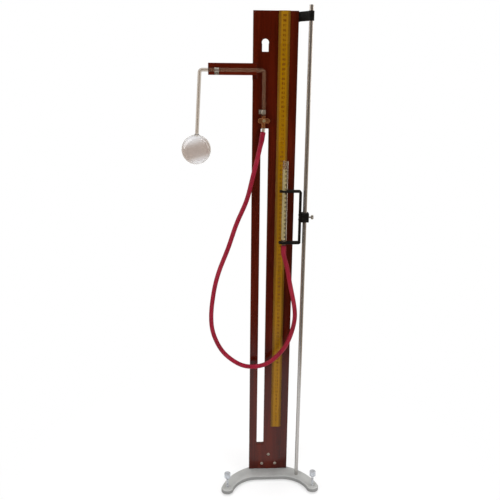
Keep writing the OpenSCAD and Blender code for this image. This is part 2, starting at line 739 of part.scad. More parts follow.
// Section of the reservoir's outside or inside: a tube over a rounded shoulder and a nozzle
module reservoir_section(r, neck_r, low, high) {
    shoulder = r - neck_r;
    square([neck_r, high]);
    translate([0, -low]) square([neck_r, low + 1]);
    translate([0, shoulder]) square([r, high - shoulder]);
    intersection() {
        translate([neck_r, shoulder]) circle(shoulder);
        translate([neck_r, 0]) square([shoulder, shoulder]);
    }
}

module reservoir() placed() color([0.85, 0.9, 0.88])
    translate([res_x, rod_y, seat_z]) rotate_extrude() difference() {
        reservoir_section(res_d / 2, nozzle_d / 2, nozzle_l, res_l);
        translate([0, (res_d - res_bore) / 2])
            reservoir_section(res_bore / 2, nozzle_bore / 2, nozzle_l + res_d, res_l + 1);
    }

base_casting();
rear_foot_pad();
left_levelling_screw();
right_levelling_screw();
board();
board_screws();
metre_scale();
arm();
arm_cleat();
cleat_screws();
bulb_and_tube();
arm_clip();
board_clip();
clip_screws();
stopcock_body();
stopcock_key();
gland_nut();
outlet_tube();
hose_left_run();
hose_right_run();
rod();
top_bracket();
top_bracket_screws();
clamp_block();
carriage_bracket();
bracket_screws();
thumb_screw();
reservoir();
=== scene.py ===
import math

import bpy
import numpy as np
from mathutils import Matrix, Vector, geometry


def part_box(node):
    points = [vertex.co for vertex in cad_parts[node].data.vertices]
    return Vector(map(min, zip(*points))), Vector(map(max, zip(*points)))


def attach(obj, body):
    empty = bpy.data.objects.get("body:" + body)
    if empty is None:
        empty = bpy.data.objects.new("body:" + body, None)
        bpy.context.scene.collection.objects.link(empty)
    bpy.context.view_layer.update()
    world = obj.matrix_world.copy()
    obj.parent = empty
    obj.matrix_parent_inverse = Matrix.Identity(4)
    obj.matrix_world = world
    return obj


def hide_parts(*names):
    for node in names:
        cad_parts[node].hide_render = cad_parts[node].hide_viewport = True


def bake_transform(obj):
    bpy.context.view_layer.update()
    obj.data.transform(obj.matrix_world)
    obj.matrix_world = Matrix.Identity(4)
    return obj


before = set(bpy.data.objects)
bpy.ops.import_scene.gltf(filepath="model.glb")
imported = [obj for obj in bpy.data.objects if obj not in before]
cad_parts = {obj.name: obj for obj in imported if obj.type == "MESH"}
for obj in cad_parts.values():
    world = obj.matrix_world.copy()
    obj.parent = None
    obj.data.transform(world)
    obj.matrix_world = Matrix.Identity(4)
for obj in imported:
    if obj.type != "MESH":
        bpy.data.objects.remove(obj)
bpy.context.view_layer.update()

bl_info = {
    "name": "Charles law apparatus",
    "version": (1, 0, 0),
    "blender": (4, 5, 0),
    "location": "View3D > Sidebar > Apparatus",
    "description": "Builds the wood, glass, metal and rubber pieces of a charles law apparatus",
    "category": "Object",
}

# Pieces are drawn in millimetres from the middle of the board's front, at floor level.
BOARD_LOW, BOARD_HIGH = (np.array(corner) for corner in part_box("board"))
ORIGIN = np.array([(BOARD_LOW[0] + BOARD_HIGH[0]) / 2, BOARD_LOW[1], 0.0])
BOARD_FOOT = BOARD_LOW[2] * 1000

# Axes of a plate's outline and of its thickness: one faces the front, the other lies level
X, Y, Z = np.eye(3)
FRONT, LEVEL = [X, Z, Y], [X, Y, Z]

# Glass tube: the upright run above the stopcock, the level run, and the stem that leans down to the bulb
TUBE_X, TUBE_Y, TUBE_FOOT, TUBE_TOP = -24.5, -4.5, 913.1, 1016.25
STEM_X, STEM_LENGTH, STEM_LEAN = -164.5, 172.0, math.radians(3.3)
STEM_WAY = np.array([-math.sin(STEM_LEAN), -math.cos(STEM_LEAN)])
BULB_X, BULB_Z = np.array([STEM_X, TUBE_TOP]) + STEM_LENGTH * STEM_WAY
BULB_R = 32.5
KEY_Z = 909.12

# Axis and outside radius of the reservoir, and half the width of the metre scale's flat face
RESERVOIR_X, RESERVOIR_Y, RESERVOIR_R = 25.0, -26.5, 6.25
SCALE_FLAT = 6.75


def node_box(node):
    """Lowest and highest corner of a CAD node, in millimetres from the board's middle."""
    return [(np.array(corner) - ORIGIN) * 1000 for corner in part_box(node)]


def node_middle(node):
    """Middle of a CAD node's box and the halves of its sides, in millimetres."""
    low, high = node_box(node)
    return (low + high) / 2, (high - low) / 2


def metres(points):
    """Points of the board's frame as plain lists in the object's frame."""
    return (np.asarray(points, float) / 1000 + ORIGIN).tolist()


def paint(red, green, blue):
    """Linear colour of an 8-bit screen colour."""
    c = np.array([red, green, blue]) / 255
    return tuple(np.where(c <= 0.04045, c / 12.92, ((c + 0.055) / 1.055) ** 2.4))


def shade(colour, share, more=0.0):
    """A colour times a share, or a share for each of its parts, with a little more added."""
    return tuple(np.clip(np.array(colour) * share + np.array(more), 0, 1))


# Shapes


class Shape:
    """Points in millimetres and sets of faces, each set with its own count of corners and its shading."""

    def __init__(self, points, faces):
        self.points = np.asarray(points, float).reshape(-1, 3)
        self.faces = [(np.asarray(f, int), smooth) for f, smooth in faces]

    def outward(self):
        """Turns every face round if the enclosed volume comes out negative."""
        volume = 0.0
        for f, _ in self.faces:
            corner = self.points[f]
            volume += np.einsum("ij,ikj->", corner[:, 0], np.cross(corner[:, 1:-1], corner[:, 2:]))
        if volume < 0:
            self.faces = [(f[:, ::-1], smooth) for f, smooth in self.faces]
        return self

    def mapped(self, change):
        """The same faces on points that a function has moved."""
        return Shape(change(self.points), self.faces)


def joined(shapes):
    """One shape that holds several, side by side."""
    start, points, faces = 0, [], []
    for s in shapes:
        points.append(s.points)
        faces += [(f + start, smooth) for f, smooth in s.faces]
        start += len(s.points)
    return Shape(np.concatenate(points), faces)


def repeated(shape, heights):
    """Copies of one shape, moved up by each of the heights."""
    shifts = np.asarray(heights, float)[:, None, None] * Z
    points = shape.points[None] + shifts
    step = np.arange(len(shifts))[:, None, None] * len(shape.points)
    faces = [((f[None] + step).reshape(-1, f.shape[1]), smooth) for f, smooth in shape.faces]
    return Shape(points, faces)


def quads(rows, cols, wrap_rows=False):
    """Faces of a grid of points, row by row. Each row joins its end to its start, and so may the columns."""
    i = np.arange(rows if wrap_rows else rows - 1)[:, None]
    j = np.arange(cols)[None, :]
    down, across = (i + 1) % rows, (j + 1) % cols
    grid = [i * cols + j, i * cols + across, down * cols + across, down * cols + j]
    return np.stack(np.broadcast_arrays(*grid), -1).reshape(-1, 4)


def rectangle(x0, y0, x1, y1):
    """Corners of a rectangle, from one corner round to the next."""
    return np.array([[x0, y0], [x1, y0], [x1, y1], [x0, y1]], float)


def arc(centre, radius, start, end, steps):
    """Points on a circle, or an ellipse for two radii, from one angle to another in degrees."""
    a = np.radians(np.linspace(start, end, steps + 1))
    return np.asarray(centre, float) + np.asarray(radius, float) * np.stack([np.cos(a), np.sin(a)], -1)


def round_hole(x, y, radius, sides=48):
    """Outline of a round hole."""
    return arc([x, y], radius, 0, 360 / sides - 360, sides - 1)


def rounded(points, radius, closed=True, steps=5):
    """A polyline whose corners are arcs. Each arc touches both sides at its radius over the tangent of half
    the corner's angle, and its points lie at even angles between the two."""
    p = np.asarray(points, float)
    radius = np.broadcast_to(radius, len(p))
    out = []
    for k in range(len(p)):
        if not closed and k in (0, len(p) - 1) or radius[k] <= 0:
            out.append(p[k : k + 1])
            continue
        a, b = p[k - 1] - p[k], p[(k + 1) % len(p)] - p[k]
        a, b = a / np.linalg.norm(a), b / np.linalg.norm(b)
        half = math.acos(np.clip(a @ b, -1, 1)) / 2
        middle = p[k] + (a + b) / np.linalg.norm(a + b) * radius[k] / math.sin(half)
        reach = radius[k] / math.tan(half)
        first, last = p[k] + a * reach - middle, p[k] + b * reach - middle
        sweep = math.pi - 2 * half
        t = np.linspace(0, 1, steps + 1)[:, None]
        out.append(middle + (np.sin((1 - t) * sweep) * first + np.sin(t * sweep) * last) / math.sin(sweep))
    return np.concatenate(out)


def at_depth(line, y=0.0):
    """Points (x, z) of an upright plane, at one depth."""
    line = np.asarray(line, float)
    return np.stack([line[:, 0], np.full(len(line), y), line[:, 1]], -1)


def at_height(line, z=0.0):
    """Points (x, y) of a level plane, at one height."""
    return np.c_[line, np.full(len(line), z)]


def lengths(curve):
    """Distance along a curve at each of its points."""
    return np.r_[0, np.cumsum(np.linalg.norm(np.diff(curve, axis=0), axis=1))]


def spline(points, step):
    """Smooth curve through the points: natural cubic pieces over the chord length, sampled every step."""
    p = np.asarray(points, float)
    t = lengths(p)
    h, n = np.diff(t), len(p)
    k = np.arange(1, n - 1)
    a, b = np.eye(n), np.zeros((n, p.shape[1]))
    a[k, k - 1], a[k, k], a[k, k + 1] = h[:-1], 2 * (h[:-1] + h[1:]), h[1:]
    b[1:-1] = 6 * np.diff(np.diff(p, axis=0) / h[:, None], axis=0)
    m = np.linalg.solve(a, b)
    u = np.linspace(0, t[-1], int(t[-1] / step) + 1)
    i = np.clip(np.searchsorted(t, u, side="right") - 1, 0, n - 2)
    left, right, w = (t[i + 1] - u)[:, None], (u - t[i])[:, None], h[i][:, None]
    bend = (m[i] * left**3 + m[i + 1] * right**3) / (6 * w)
    return bend + (p[i] / w - m[i] * w / 6) * left + (p[i + 1] / w - m[i + 1] * w / 6) * right


def closed_ends(rows, cols):
    """Faces over the first and the last row of a grid."""
    first = np.arange(cols)[None]
    return [(first[:, ::-1], False), (first + (rows - 1) * cols, False)]


def rings(curve, s, r, sides=48, side_way=Y, wrap=False):
    """Round surface along a curve: at each distance s a ring of radius r stands square to the curve.
    The radius may change round the ring. The ends are closed, or joined to each other for a wrapped wall."""
    curve, s = np.asarray(curve, float), np.asarray(s, float)
    d = lengths(curve)
    way = np.gradient(curve, d, axis=0)
    centre = np.stack([np.interp(s, d, curve[:, k]) for k in range(3)], -1)
    t = np.stack([np.interp(s, d, way[:, k]) for k in range(3)], -1)
    t /= np.linalg.norm(t, axis=1)[:, None]
    u = np.cross(t, side_way)
    u /= np.linalg.norm(u, axis=1)[:, None]
    v = np.cross(t, u)
    a = 2 * np.pi * np.arange(sides) / sides
    r = np.asarray(r, float)
    r = r[:, None] if r.ndim == 1 else r
    spread = np.cos(a)[None, :, None] * u[:, None] + np.sin(a)[None, :, None] * v[:, None]
    points = centre[:, None] + (r * np.ones(sides))[:, :, None] * spread
    faces = [(quads(len(s), sides, wrap), True)]
    if not wrap:
        faces += closed_ends(len(s), sides)
    return Shape(points, faces).outward()


def turned(base, axis, profile, sides=48, wrap=False, knurl=None):
    """Lathe work: the (distance, radius) pairs of a profile are carried round a straight axis.
    A knurl (count, depth, from, to) scores the radius with a cosine between two distances."""
    s, r = np.asarray(profile, float).T
    smallest = 0.02
    r = np.maximum(r, smallest)
    base, axis = np.asarray(base, float), np.asarray(axis, float)
    low, high = s.min() - 1, s.max() + 1
    side_way = X if abs(axis[0]) < 0.9 else Y
    if knurl:
        count, depth, start, end = knurl
        a = 2 * np.pi * np.arange(sides) / sides
        on = ((s > start) & (s < end))[:, None]
        r = r[:, None] - on * depth * (0.5 + 0.5 * np.cos(count * a))[None]
    return rings([base + low * axis, base + high * axis], s - low, r, sides, side_way, wrap)


def with_rim(profile, start, end, radius, rows):
    """Profile of a turned head with even rows of points along its rim, which a knurl needs."""
    cut = int(np.argmax(profile[:, 0] > start))
    rim = np.c_[np.linspace(start, end, rows), np.full(rows, radius)]
    return np.concatenate([profile[:cut], rim, profile[cut:]])


def strip(path, section, side_way):
    """Bar along a path: a closed section of (across, sideways) pairs is carried along it, and sideways
    is the same way all along."""
    path, section = np.asarray(path, float), np.asarray(section, float)
    way = np.gradient(path, lengths(path), axis=0)
    across = np.cross(way, side_way)
    across /= np.linalg.norm(across, axis=1)[:, None]
    points = path[:, None] + section[None, :, :1] * across[:, None] + section[None, :, 1:] * side_way
    rows, cols = len(path), len(section)
    return Shape(points, [(quads(rows, cols), True), *closed_ends(rows, cols)]).outward()


def filled(loops):
    """Anticlockwise triangles between closed outlines: a constrained Delaunay net, of which those stay whose
    middle has an odd number of outline edges to its right."""
    sizes = [len(loop) for loop in loops]
    start = np.cumsum(sizes) - sizes
    p = np.concatenate(loops)
    ahead = np.concatenate([s + (np.arange(n) + 1) % n for s, n in zip(start, sizes)])
    edges = list(enumerate(ahead.tolist()))
    _, _, tri, source, _, _ = geometry.delaunay_2d_cdt([Vector(c) for c in p], edges, [], 0, 1e-6)
    tri = np.array([group[0] for group in source])[np.array(tri)]
    a, b, middle = p[None], p[ahead][None], p[tri].mean(1)[:, None]
    spans = (a[..., 1] > middle[..., 1]) != (b[..., 1] > middle[..., 1])
    rise = np.where(spans, b[..., 1] - a[..., 1], 1.0)
    cross = a[..., 0] + (middle[..., 1] - a[..., 1]) * (b[..., 0] - a[..., 0]) / rise
    tri = tri[(spans & (middle[..., 0] < cross)).sum(1) % 2 == 1]
    one, two = p[tri[:, 1]] - p[tri[:, 0]], p[tri[:, 2]] - p[tri[:, 0]]
    clockwise = one[:, 0] * two[:, 1] < one[:, 1] * two[:, 0]
    tri[clockwise] = tri[clockwise][:, ::-1]
    return tri


def plate(loops, low, high, edge, axes, steps=4):
    """Flat piece with rounded edges: each outline is carried through the thickness and drawn in by a quarter
    circle at both faces, and the faces are filled between the outlines. The first outline is taken
    anticlockwise, those of holes clockwise. Edge gives the rounding at the low and the high face."""
    edge_low, edge_high = np.broadcast_to(edge, 2)
    a = np.linspace(0, np.pi / 2, steps + 1)
    inset = np.r_[edge_low * (1 - np.sin(a)), edge_high * (1 - np.sin(a))[::-1]]
    depth = np.r_[low + edge_low * (1 - np.cos(a)), high - edge_high * (1 - np.cos(a))[::-1]]
    rows = len(depth)
    points, walls, first, face, start = [], [], [], [], 0
    for k, loop in enumerate(loops):
        ahead = np.roll(loop, -1, 0)
        around = np.sum(loop[:, 0] * ahead[:, 1] - loop[:, 1] * ahead[:, 0])
        loop = loop if (around > 0) == (k == 0) else loop[::-1]
        side = np.roll(loop, -1, 0) - loop
        normal = np.stack([-side[:, 1], side[:, 0]], -1) / np.linalg.norm(side, axis=1)[:, None]
        before = np.roll(normal, 1, 0)
        inward = (normal + before) / (1 + np.sum(normal * before, axis=1))[:, None]
        grid = loop[None] + inset[:, None, None] * inward[None]
        level = np.broadcast_to(depth[:, None, None], grid.shape[:2] + (1,))
        points.append(np.concatenate([grid, level], -1).reshape(-1, 3))
        walls.append(quads(rows, len(loop)) + start)
        first.append(start + np.arange(len(loop)))
        face.append(loop)
        start += rows * len(loop)
    points = np.concatenate(points)
    tri = filled(face)
    last = np.concatenate([f + (rows - 1) * len(f) for f in first])
    first = np.concatenate(first)
    faces = [(np.concatenate(walls), True), (first[tri][:, ::-1], False), (last[tri], False)]
    return Shape(points @ np.asarray(axes, float), faces).outward()


# Finishes


def label(key):
    """Label of a node's socket for a plain keyword."""
    return key.replace("_", " ").title().replace("Ior", "IOR")


class NodeTree:
    """Nodes of a material or of the surroundings, each made and linked in one call."""

    def __init__(self, owner):
        owner.use_nodes = True
        self.tree = owner.node_tree

    def emptied(self):
        """The tree without the nodes that it starts with."""
        self.tree.nodes.clear()
        return self

    def put(self, socket, value):
        """Links an output to a socket, or sets the socket's value; a colour gets its alpha."""
        if isinstance(value, bpy.types.NodeSocket):
            self.tree.links.new(value, socket)
        else:
            socket.default_value = (*value, 1.0) if socket.type == "RGBA" else value

    def node(self, kind, *values, settings=None, **links):
        """New node with its settings, and its inputs linked or set in order and by label."""
        node = self.tree.nodes.new("ShaderNode" + kind)
        for key, value in (settings or {}).items():
            setattr(node, key, value)
        for socket, value in zip(node.inputs, values):
            self.put(socket, value)
        for key, value in links.items():
            self.put(node.inputs[label(key)], value)
        return node

    def place(self, scale=(1, 1, 1)):
        """Object coordinates, stretched."""
        where = self.node("TexCoord").outputs["Object"]
        return self.node("Mapping", vector=where, scale=scale).outputs["Vector"]

    def noise(self, where, scale, detail=4.0, roughness=0.5, distortion=0.0):
        """Cloudy pattern."""
        sizes = {"scale": scale, "detail": detail, "roughness": roughness, "distortion": distortion}
        return self.node("TexNoise", where, **sizes).outputs["Fac"]

    def number(self, operation, *values, **settings):
        """Result of an operation on numbers."""
        return self.node("Math", *values, settings={"operation": operation, **settings}).outputs[0]

    def measure(self, operation, *vectors):
        """Number that an operation on vectors gives."""
        return self.node("VectorMath", *vectors, settings={"operation": operation}).outputs["Value"]

    def parts(self, vector):
        """The three numbers of a vector."""
        return self.node("SeparateXYZ", vector).outputs

    def ramp(self, factor, *stops):
        """Colour ramp with (place, colour) stops."""
        ramp = self.node("ValToRGB", factor)
        elements = ramp.color_ramp.elements
        while len(elements) < len(stops):
            elements.new(0.5)
        for element, (at, colour) in zip(elements, stops):
            element.position = at
            element.color = (*colour, 1.0)
        return ramp.outputs["Color"]

    def grey(self, factor, low, high, start=0.3, end=0.7, step="LINEAR"):
        """A pattern between a start and an end brought to a range of values."""
        n = self.node("MapRange", factor, start, end, low, high, settings={"interpolation_type": step})
        return n.outputs["Result"]

    def mix(self, factor, a, b):
        """Two colours mixed by a factor."""
        n = self.node("Mix", factor, settings={"data_type": "RGBA"})
        self.put(n.inputs[6], a)
        self.put(n.inputs[7], b)
        return n.outputs[2]

    def bump(self, height, strength, depth, **below):
        """Relief of a pattern, in metres of depth, over another relief."""
        return self.node("Bump", height=height, strength=strength, distance=depth, **below).outputs["Normal"]


class Finish(NodeTree):
    """Material with its shader's own values and the patterns that reach the shader."""

    def __init__(self, name, **values):
        self.material = bpy.data.materials.new(name)
        super().__init__(self.material)
        self.wear(**values)

    def wear(self, **values):
        """Sets the shader's inputs, or links patterns to them."""
        shader = self.tree.nodes["Principled BSDF"]
        for key, value in values.items():
            self.put(shader.inputs[label(key)], value)
        return self.material


def mahogany(name, along, colours, lift=1.0):
    """Varnished hardwood: long bands, fine pores along the grain, and a slightly uneven coat."""
    f = Finish(name, specular_ior_level=0.36)

    def drawn_out(times):
        """Object coordinates drawn out along the grain."""
        return f.place([1 / times if k == along else 1.0 for k in range(3)])

    bands = f.noise(drawn_out(16), 70.0, 5.0, 0.55, 0.6)
    pores = f.noise(drawn_out(45), 1300.0, 3.0, 0.6)
    cloud = f.noise(f.place(), 9.0, 2.0)
    dark, middle, light = (shade(tone, lift) for tone in (colours.dark, colours.middle, colours.light))
    wood = f.ramp(bands, (0.28, dark), (0.5, middle), (0.76, light))
    wood = f.mix(f.grey(pores, 0.0, 0.45, 0.52, 0.72), wood, shade(dark, 0.35))
    wood = f.mix(f.grey(cloud, 0.0, 0.3), wood, middle)
    relief = f.bump(cloud, 0.25, 0.001, normal=f.bump(pores, 0.12, 0.0002))
    return f.wear(base_color=wood, roughness=f.grey(bands, 0.17, 0.26), normal=relief)


def boxwood(colours):
    """Yellow varnished scale wood with faint straight grain and browner bevels."""
    f = Finish("boxwood", specular_ior_level=0.2)
    grain = f.noise(f.place((1, 1, 1 / 30)), 520.0, 4.0, 0.6, 0.3)
    stain = f.noise(f.place((1, 1, 0.3)), 30.0, 3.0)
    streaks = f.ramp(grain, (0.3, colours.yellow_dark), (0.62, colours.yellow))
    wood = f.mix(f.grey(stain, 0.0, 0.55), streaks, colours.yellow)
    (left, _, _), (right, _, _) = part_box("metre_scale")
    off = f.number("ABSOLUTE", f.number("SUBTRACT", f.parts(f.place())["X"], (left + right) / 2))
    flat = SCALE_FLAT / 1000
    wood = f.mix(f.grey(off, 0.0, 1.0, flat - 0.00015, flat + 0.00045), wood, colours.bevel)
    return f.wear(base_color=wood, roughness=f.grey(stain, 0.22, 0.34), normal=f.bump(grain, 0.06, 0.0002))


def print_ink(name, colour):
    """Printed line or figure, thin in places where the ink has rubbed."""
    f = Finish(name, specular_ior_level=0.15)
    rub = f.noise(f.place(), 900.0, 3.0)
    rubbed = shade(colour, 0.6, (0.096, 0.044, 0.004))
    ink = f.mix(f.grey(rub, 0.0, 0.6, 0.52, 0.75), colour, rubbed)
    return f.wear(base_color=ink, roughness=f.grey(rub, 0.45, 0.6))


TUBE_INDEX, BULB_INDEX = 1.16, 1.47


def glass_film(f):
    """Roughness of glass that is clean but for a thin film in patches."""
    return f.grey(f.noise(f.place(), 90.0, 3.0), 0.0, 0.02, 0.5, 0.8)


def clear_glass(name, colour, clear=0.96):
    """Lamp-worked tube with the faint waves that drawing leaves. A low index lets what is behind it show."""
    f = Finish(name, base_color=colour, transmission_weight=clear, ior=TUBE_INDEX)
    wave = f.noise(f.place((1, 1, 0.35)), 30.0, 1.0)
    return f.wear(roughness=glass_film(f), normal=f.bump(wave, 0.02, 0.0004))


def blown_glass(colours):
    """Bent tube with its bulb: where the tube lies along the wood its colour is painted browner and it is a
    little less clear, a painted reflection of the wood behind it. The bulb is thin glass, greyer round its
    middle, and painted highlights make it paler near its neck and its foot."""
    f = Finish("blown_glass", ior=BULB_INDEX)
    where = f.node("TexCoord").outputs["Object"]
    apart = f.parts(where)
    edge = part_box("arm")[0][0]
    # Painted reflection: along the wood the tube's colour is mixed to a brown and its transmission lowered,
    # so the wood behind seems to show in it.
    wood_reflection_span = (edge, edge + 0.004)
    tube = f.mix(f.grey(apart["X"], 0.0, 1.0, *wood_reflection_span), colours.glass, colours.glass_on_wood)
    # Painted highlights: near the bulb's neck and its foot the colour is mixed to a near white.
    tilt = Vector((-0.3, 0, 0.954))
    centre = tilt.dot(Vector(metres([BULB_X, TUBE_Y, BULB_Z])))
    along = f.measure("DOT_PRODUCT", where, tilt)
    neck = f.grey(along, 0.0, 1.0, centre + 0.008, centre + 0.027)
    foot = f.grey(along, 1.0, 0.0, centre - 0.029, centre - 0.013)
    ball = f.mix(neck, f.mix(foot, colours.bulb, colours.bulb_end), colours.bulb_end)
    join = (0.874, 0.88)
    return f.wear(
        base_color=f.mix(f.grey(apart["Z"], 1.0, 0.0, *join), tube, ball),
        ior=f.grey(apart["Z"], BULB_INDEX, TUBE_INDEX, *join),
        transmission_weight=f.grey(apart["X"], 0.96, 0.935, *wood_reflection_span),
        roughness=glass_film(f),
    )


def milk_glass(colour):
    """White enamel stripe fused to the side of the reservoir."""
    f = Finish("milk_glass", coat_weight=0.4, coat_roughness=0.05, specular_ior_level=0.5)
    cloud = f.noise(f.place((1, 1, 0.2)), 240.0, 3.0)
    enamel = f.mix(f.grey(cloud, 0.0, 1.0), colour, shade(colour, 0.86))
    return f.wear(base_color=enamel, roughness=f.grey(cloud, 0.2, 0.35))


def plated(name, colour, stretch=(1, 1, 1), rough=(0.3, 0.42), lines=700.0, metallic=0.55):
    """Bright metal: drawing or turning lines, with hazy patches where it has dulled."""
    f = Finish(name, metallic=metallic)
    fine = f.noise(f.place(stretch), lines, 3.0, 0.6)
    haze = f.noise(f.place(stretch), 45.0, 2.0)
    metal = f.mix(f.grey(haze, 0.0, 0.7, 0.42, 0.75), colour, shade(colour, 0.78))
    return f.wear(base_color=metal, roughness=f.grey(haze, *rough), normal=f.bump(fine, 0.02, 0.0001))


def old_brass(name, colour, highlight_centre=None):
    """Reddish brass with brown tarnish in patches and brighter spots. A key has a painted pale highlight
    about its hub.
    """
    f = Finish(name, metallic=0.8)
    patch = f.noise(f.place(), 210.0, 5.0, 0.6)
    fine = f.noise(f.place(), 1600.0, 2.0)
    dark, bright = shade(colour, (0.45, 0.4, 0.38)), shade(colour, (1.35, 1.5, 1.6))
    metal = f.ramp(patch, (0.34, dark), (0.52, colour), (0.74, bright))
    if highlight_centre is not None:
        # Painted highlight: a pale patch round the key's hub.
        away = f.measure("DISTANCE", f.place((1, 0, 1)), (highlight_centre[0], 0, highlight_centre[2]))
        metal = f.mix(f.grey(away, 0.9, 0.0, 0.0022, 0.0042), metal, (0.66, 0.55, 0.3))
    return f.wear(base_color=metal, roughness=f.grey(patch, 0.42, 0.22), normal=f.bump(fine, 0.1, 0.0001))


def black_enamel(colour):
    """Stoved black enamel with orange-peel relief and greyed spots."""
    f = Finish("black_enamel", specular_ior_level=0.12)
    peel = f.noise(f.place(), 620.0, 2.0)
    rub = f.noise(f.place(), 130.0, 5.0, 0.65)
    coat = f.mix(f.grey(rub, 0.0, 1.0, 0.5, 0.72), colour, shade(colour, 1.0, 0.006))
    return f.wear(base_color=coat, roughness=f.grey(rub, 0.54, 0.66), normal=f.bump(peel, 0.1, 0.0003))


def silver_paint(colour):
    """Aluminium paint on a sand casting: fine grain, soft dents and greyer patches of dirt, and painted
    shade that darkens the faces below the top of the bed, the upright rim among them.
    """
    f = Finish("silver_paint", metallic=0.1)
    sand = f.noise(f.place(), 900.0, 3.0, 0.6)
    dent = f.noise(f.place(), 75.0, 3.0)
    dirt = f.noise(f.place(), 26.0, 5.0, 0.6)
    rim = size("casting_edge")
    below, above = (BOARD_FOOT - 0.7 * rim) / 1000, (BOARD_FOOT - 0.1 * rim) / 1000
    # Painted shade: faces lower than the top of the bed, the upright rim among them, are mixed towards a
    # much darker grey, as if lit only from above.
    side = f.grey(f.parts(f.place())["Z"], 0.9, 0.0, below, above)
    coat = f.mix(f.grey(dirt, 0.0, 0.85, 0.45, 0.75), colour, shade(colour, 0.72))
    return f.wear(
        base_color=f.mix(side, coat, shade(colour, 0.4)),
        roughness=f.grey(sand, 0.42, 0.58),
        normal=f.bump(dent, 0.3, 0.0015, normal=f.bump(sand, 0.22, 0.0004)),
    )


def red_rubber(colour):
    """Cured rubber: the faint cross lines of the cloth it was cured in, a pale bloom and a dull gloss."""
    f = Finish("red_rubber", specular_ior_level=0.24)
    pitch = 0.0016
    run = f.node("Attribute", settings={"attribute_name": "run"}).outputs["Fac"]
    wrap = f.number("SINE", f.number("MULTIPLY", run, 2 * math.pi / pitch))
    bloom = f.noise(f.place((1, 1, 0.4)), 38.0, 4.0, 0.6)
    speck = f.noise(f.place(), 1500.0, 2.0)
    dark, pale = shade(colour, 0.72), shade(colour, 1.2, 0.008)
    skin = f.ramp(bloom, (0.3, dark), (0.52, colour), (0.78, pale))
    relief = f.bump(wrap, 0.1, 0.00008, normal=f.bump(speck, 0.1, 0.0001))
    return f.wear(base_color=skin, roughness=f.grey(bloom, 0.38, 0.52), normal=relief)


def black_rubber(colour):
    """Matt black pad with a fine rough skin."""
    f = Finish("black_rubber", specular_ior_level=0.3)
    skin = f.noise(f.place(), 800.0, 4.0)
    return f.wear(
        base_color=f.ramp(skin, (0.3, colour), (0.7, shade(colour, 2.5))),
        roughness=f.grey(skin, 0.65, 0.85),
        normal=f.bump(skin, 0.3, 0.0003),
    )


FINISHES = {}


def finish(name):
    """The named finish, made once from the colours in the panel."""
    if name not in FINISHES:
        c = bpy.context.scene.apparatus_colours
        makers = {
            "board_wood": lambda: mahogany(name, 2, c),
            "arm_wood": lambda: mahogany(name, 0, c, lift=1.3),
            "boxwood": lambda: boxwood(c),
            "black_ink": lambda: print_ink(name, c.ink),
            "red_ink": lambda: print_ink(name, c.figures),
            "outlet_glass": lambda: clear_glass(name, c.outlet, clear=0.85),
            "blown_glass": lambda: blown_glass(c),
            "reservoir_glass": lambda: clear_glass(name, c.reservoir),
            "milk_glass": lambda: milk_glass(c.stripe),
            "rod_steel": lambda: plated(name, c.rod, (1, 1, 1 / 40), (0.2, 0.26), 1500.0, 0.92),
            "nickel": lambda: plated(name, c.nickel, metallic=0.82),
            "bright_plate": lambda: plated(name, c.plate, rough=(0.2, 0.3), metallic=0.65),
            "old_brass": lambda: old_brass(name, c.brass),
            "key_brass": lambda: old_brass(name, c.brass, metres([TUBE_X, 0, KEY_Z])),
            "black_enamel": lambda: black_enamel(c.enamel),
            "silver_paint": lambda: silver_paint(c.casting),
            "red_rubber": lambda: red_rubber(c.hose),
            "black_rubber": lambda: black_rubber(c.pad),
        }
        FINISHES[name] = makers[name]()
    return FINISHES[name]


# Pieces


def piece(name, shape, finish_name, body, nodes=(), sharp=38, run=None):
    """Mesh object of a shape, with its finish, on its body, in place of the CAD nodes that it stands for."""
    mesh = bpy.data.meshes.new(name)
    sets = [f for f, _ in shape.faces]
    corners = np.concatenate([f.ravel() for f in sets])
    sizes = np.concatenate([np.full(len(f), f.shape[1]) for f in sets])
    mesh.vertices.add(len(shape.points))
    mesh.vertices.foreach_set("co", (shape.points / 1000 + ORIGIN).ravel())
    mesh.loops.add(len(corners))
    mesh.loops.foreach_set("vertex_index", corners)
    mesh.polygons.add(len(sizes))
    mesh.polygons.foreach_set("loop_start", np.r_[0, np.cumsum(sizes)[:-1]])
    smooth = np.concatenate([np.full(len(f), s) for f, s in shape.faces])
    mesh.polygons.foreach_set("use_smooth", smooth)
    mesh.update(calc_edges=True)
    if mesh.validate():
        raise RuntimeError(name + " has faces that don't hold together")
    mesh.set_sharp_from_angle(angle=math.radians(sharp))
    if run is not None:
        mesh.attributes.new("run", "FLOAT", "POINT").data.foreach_set("value", np.asarray(run, np.float32))
    obj = bpy.data.objects.new(name, mesh)
    bpy.context.scene.collection.objects.link(obj)
    mesh.materials.append(finish(finish_name))
    if body:
        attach(obj, body)
    if nodes:
        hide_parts(*nodes)
    return obj


def dress(node, finish_name):
    """Gives a CAD node that stays its finish."""
    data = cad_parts[node].data
    data.materials.clear()
    data.materials.append(finish(finish_name))


# Settings


def length(name, description, millimetres):
    """Length property with its default in millimetres."""
    return bpy.props.FloatProperty(
        name=name, description=description, default=millimetres / 1000, unit="LENGTH", precision=5
    )


def tint(name, description, colour):
    """Colour property."""
    return bpy.props.FloatVectorProperty(
        name=name, description=description, default=colour, subtype="COLOR", size=3, min=0, max=1
    )


def power(name, description, watts):
    """Lamp power property."""
    return bpy.props.FloatProperty(name=name, description=description, default=watts, unit="POWER")


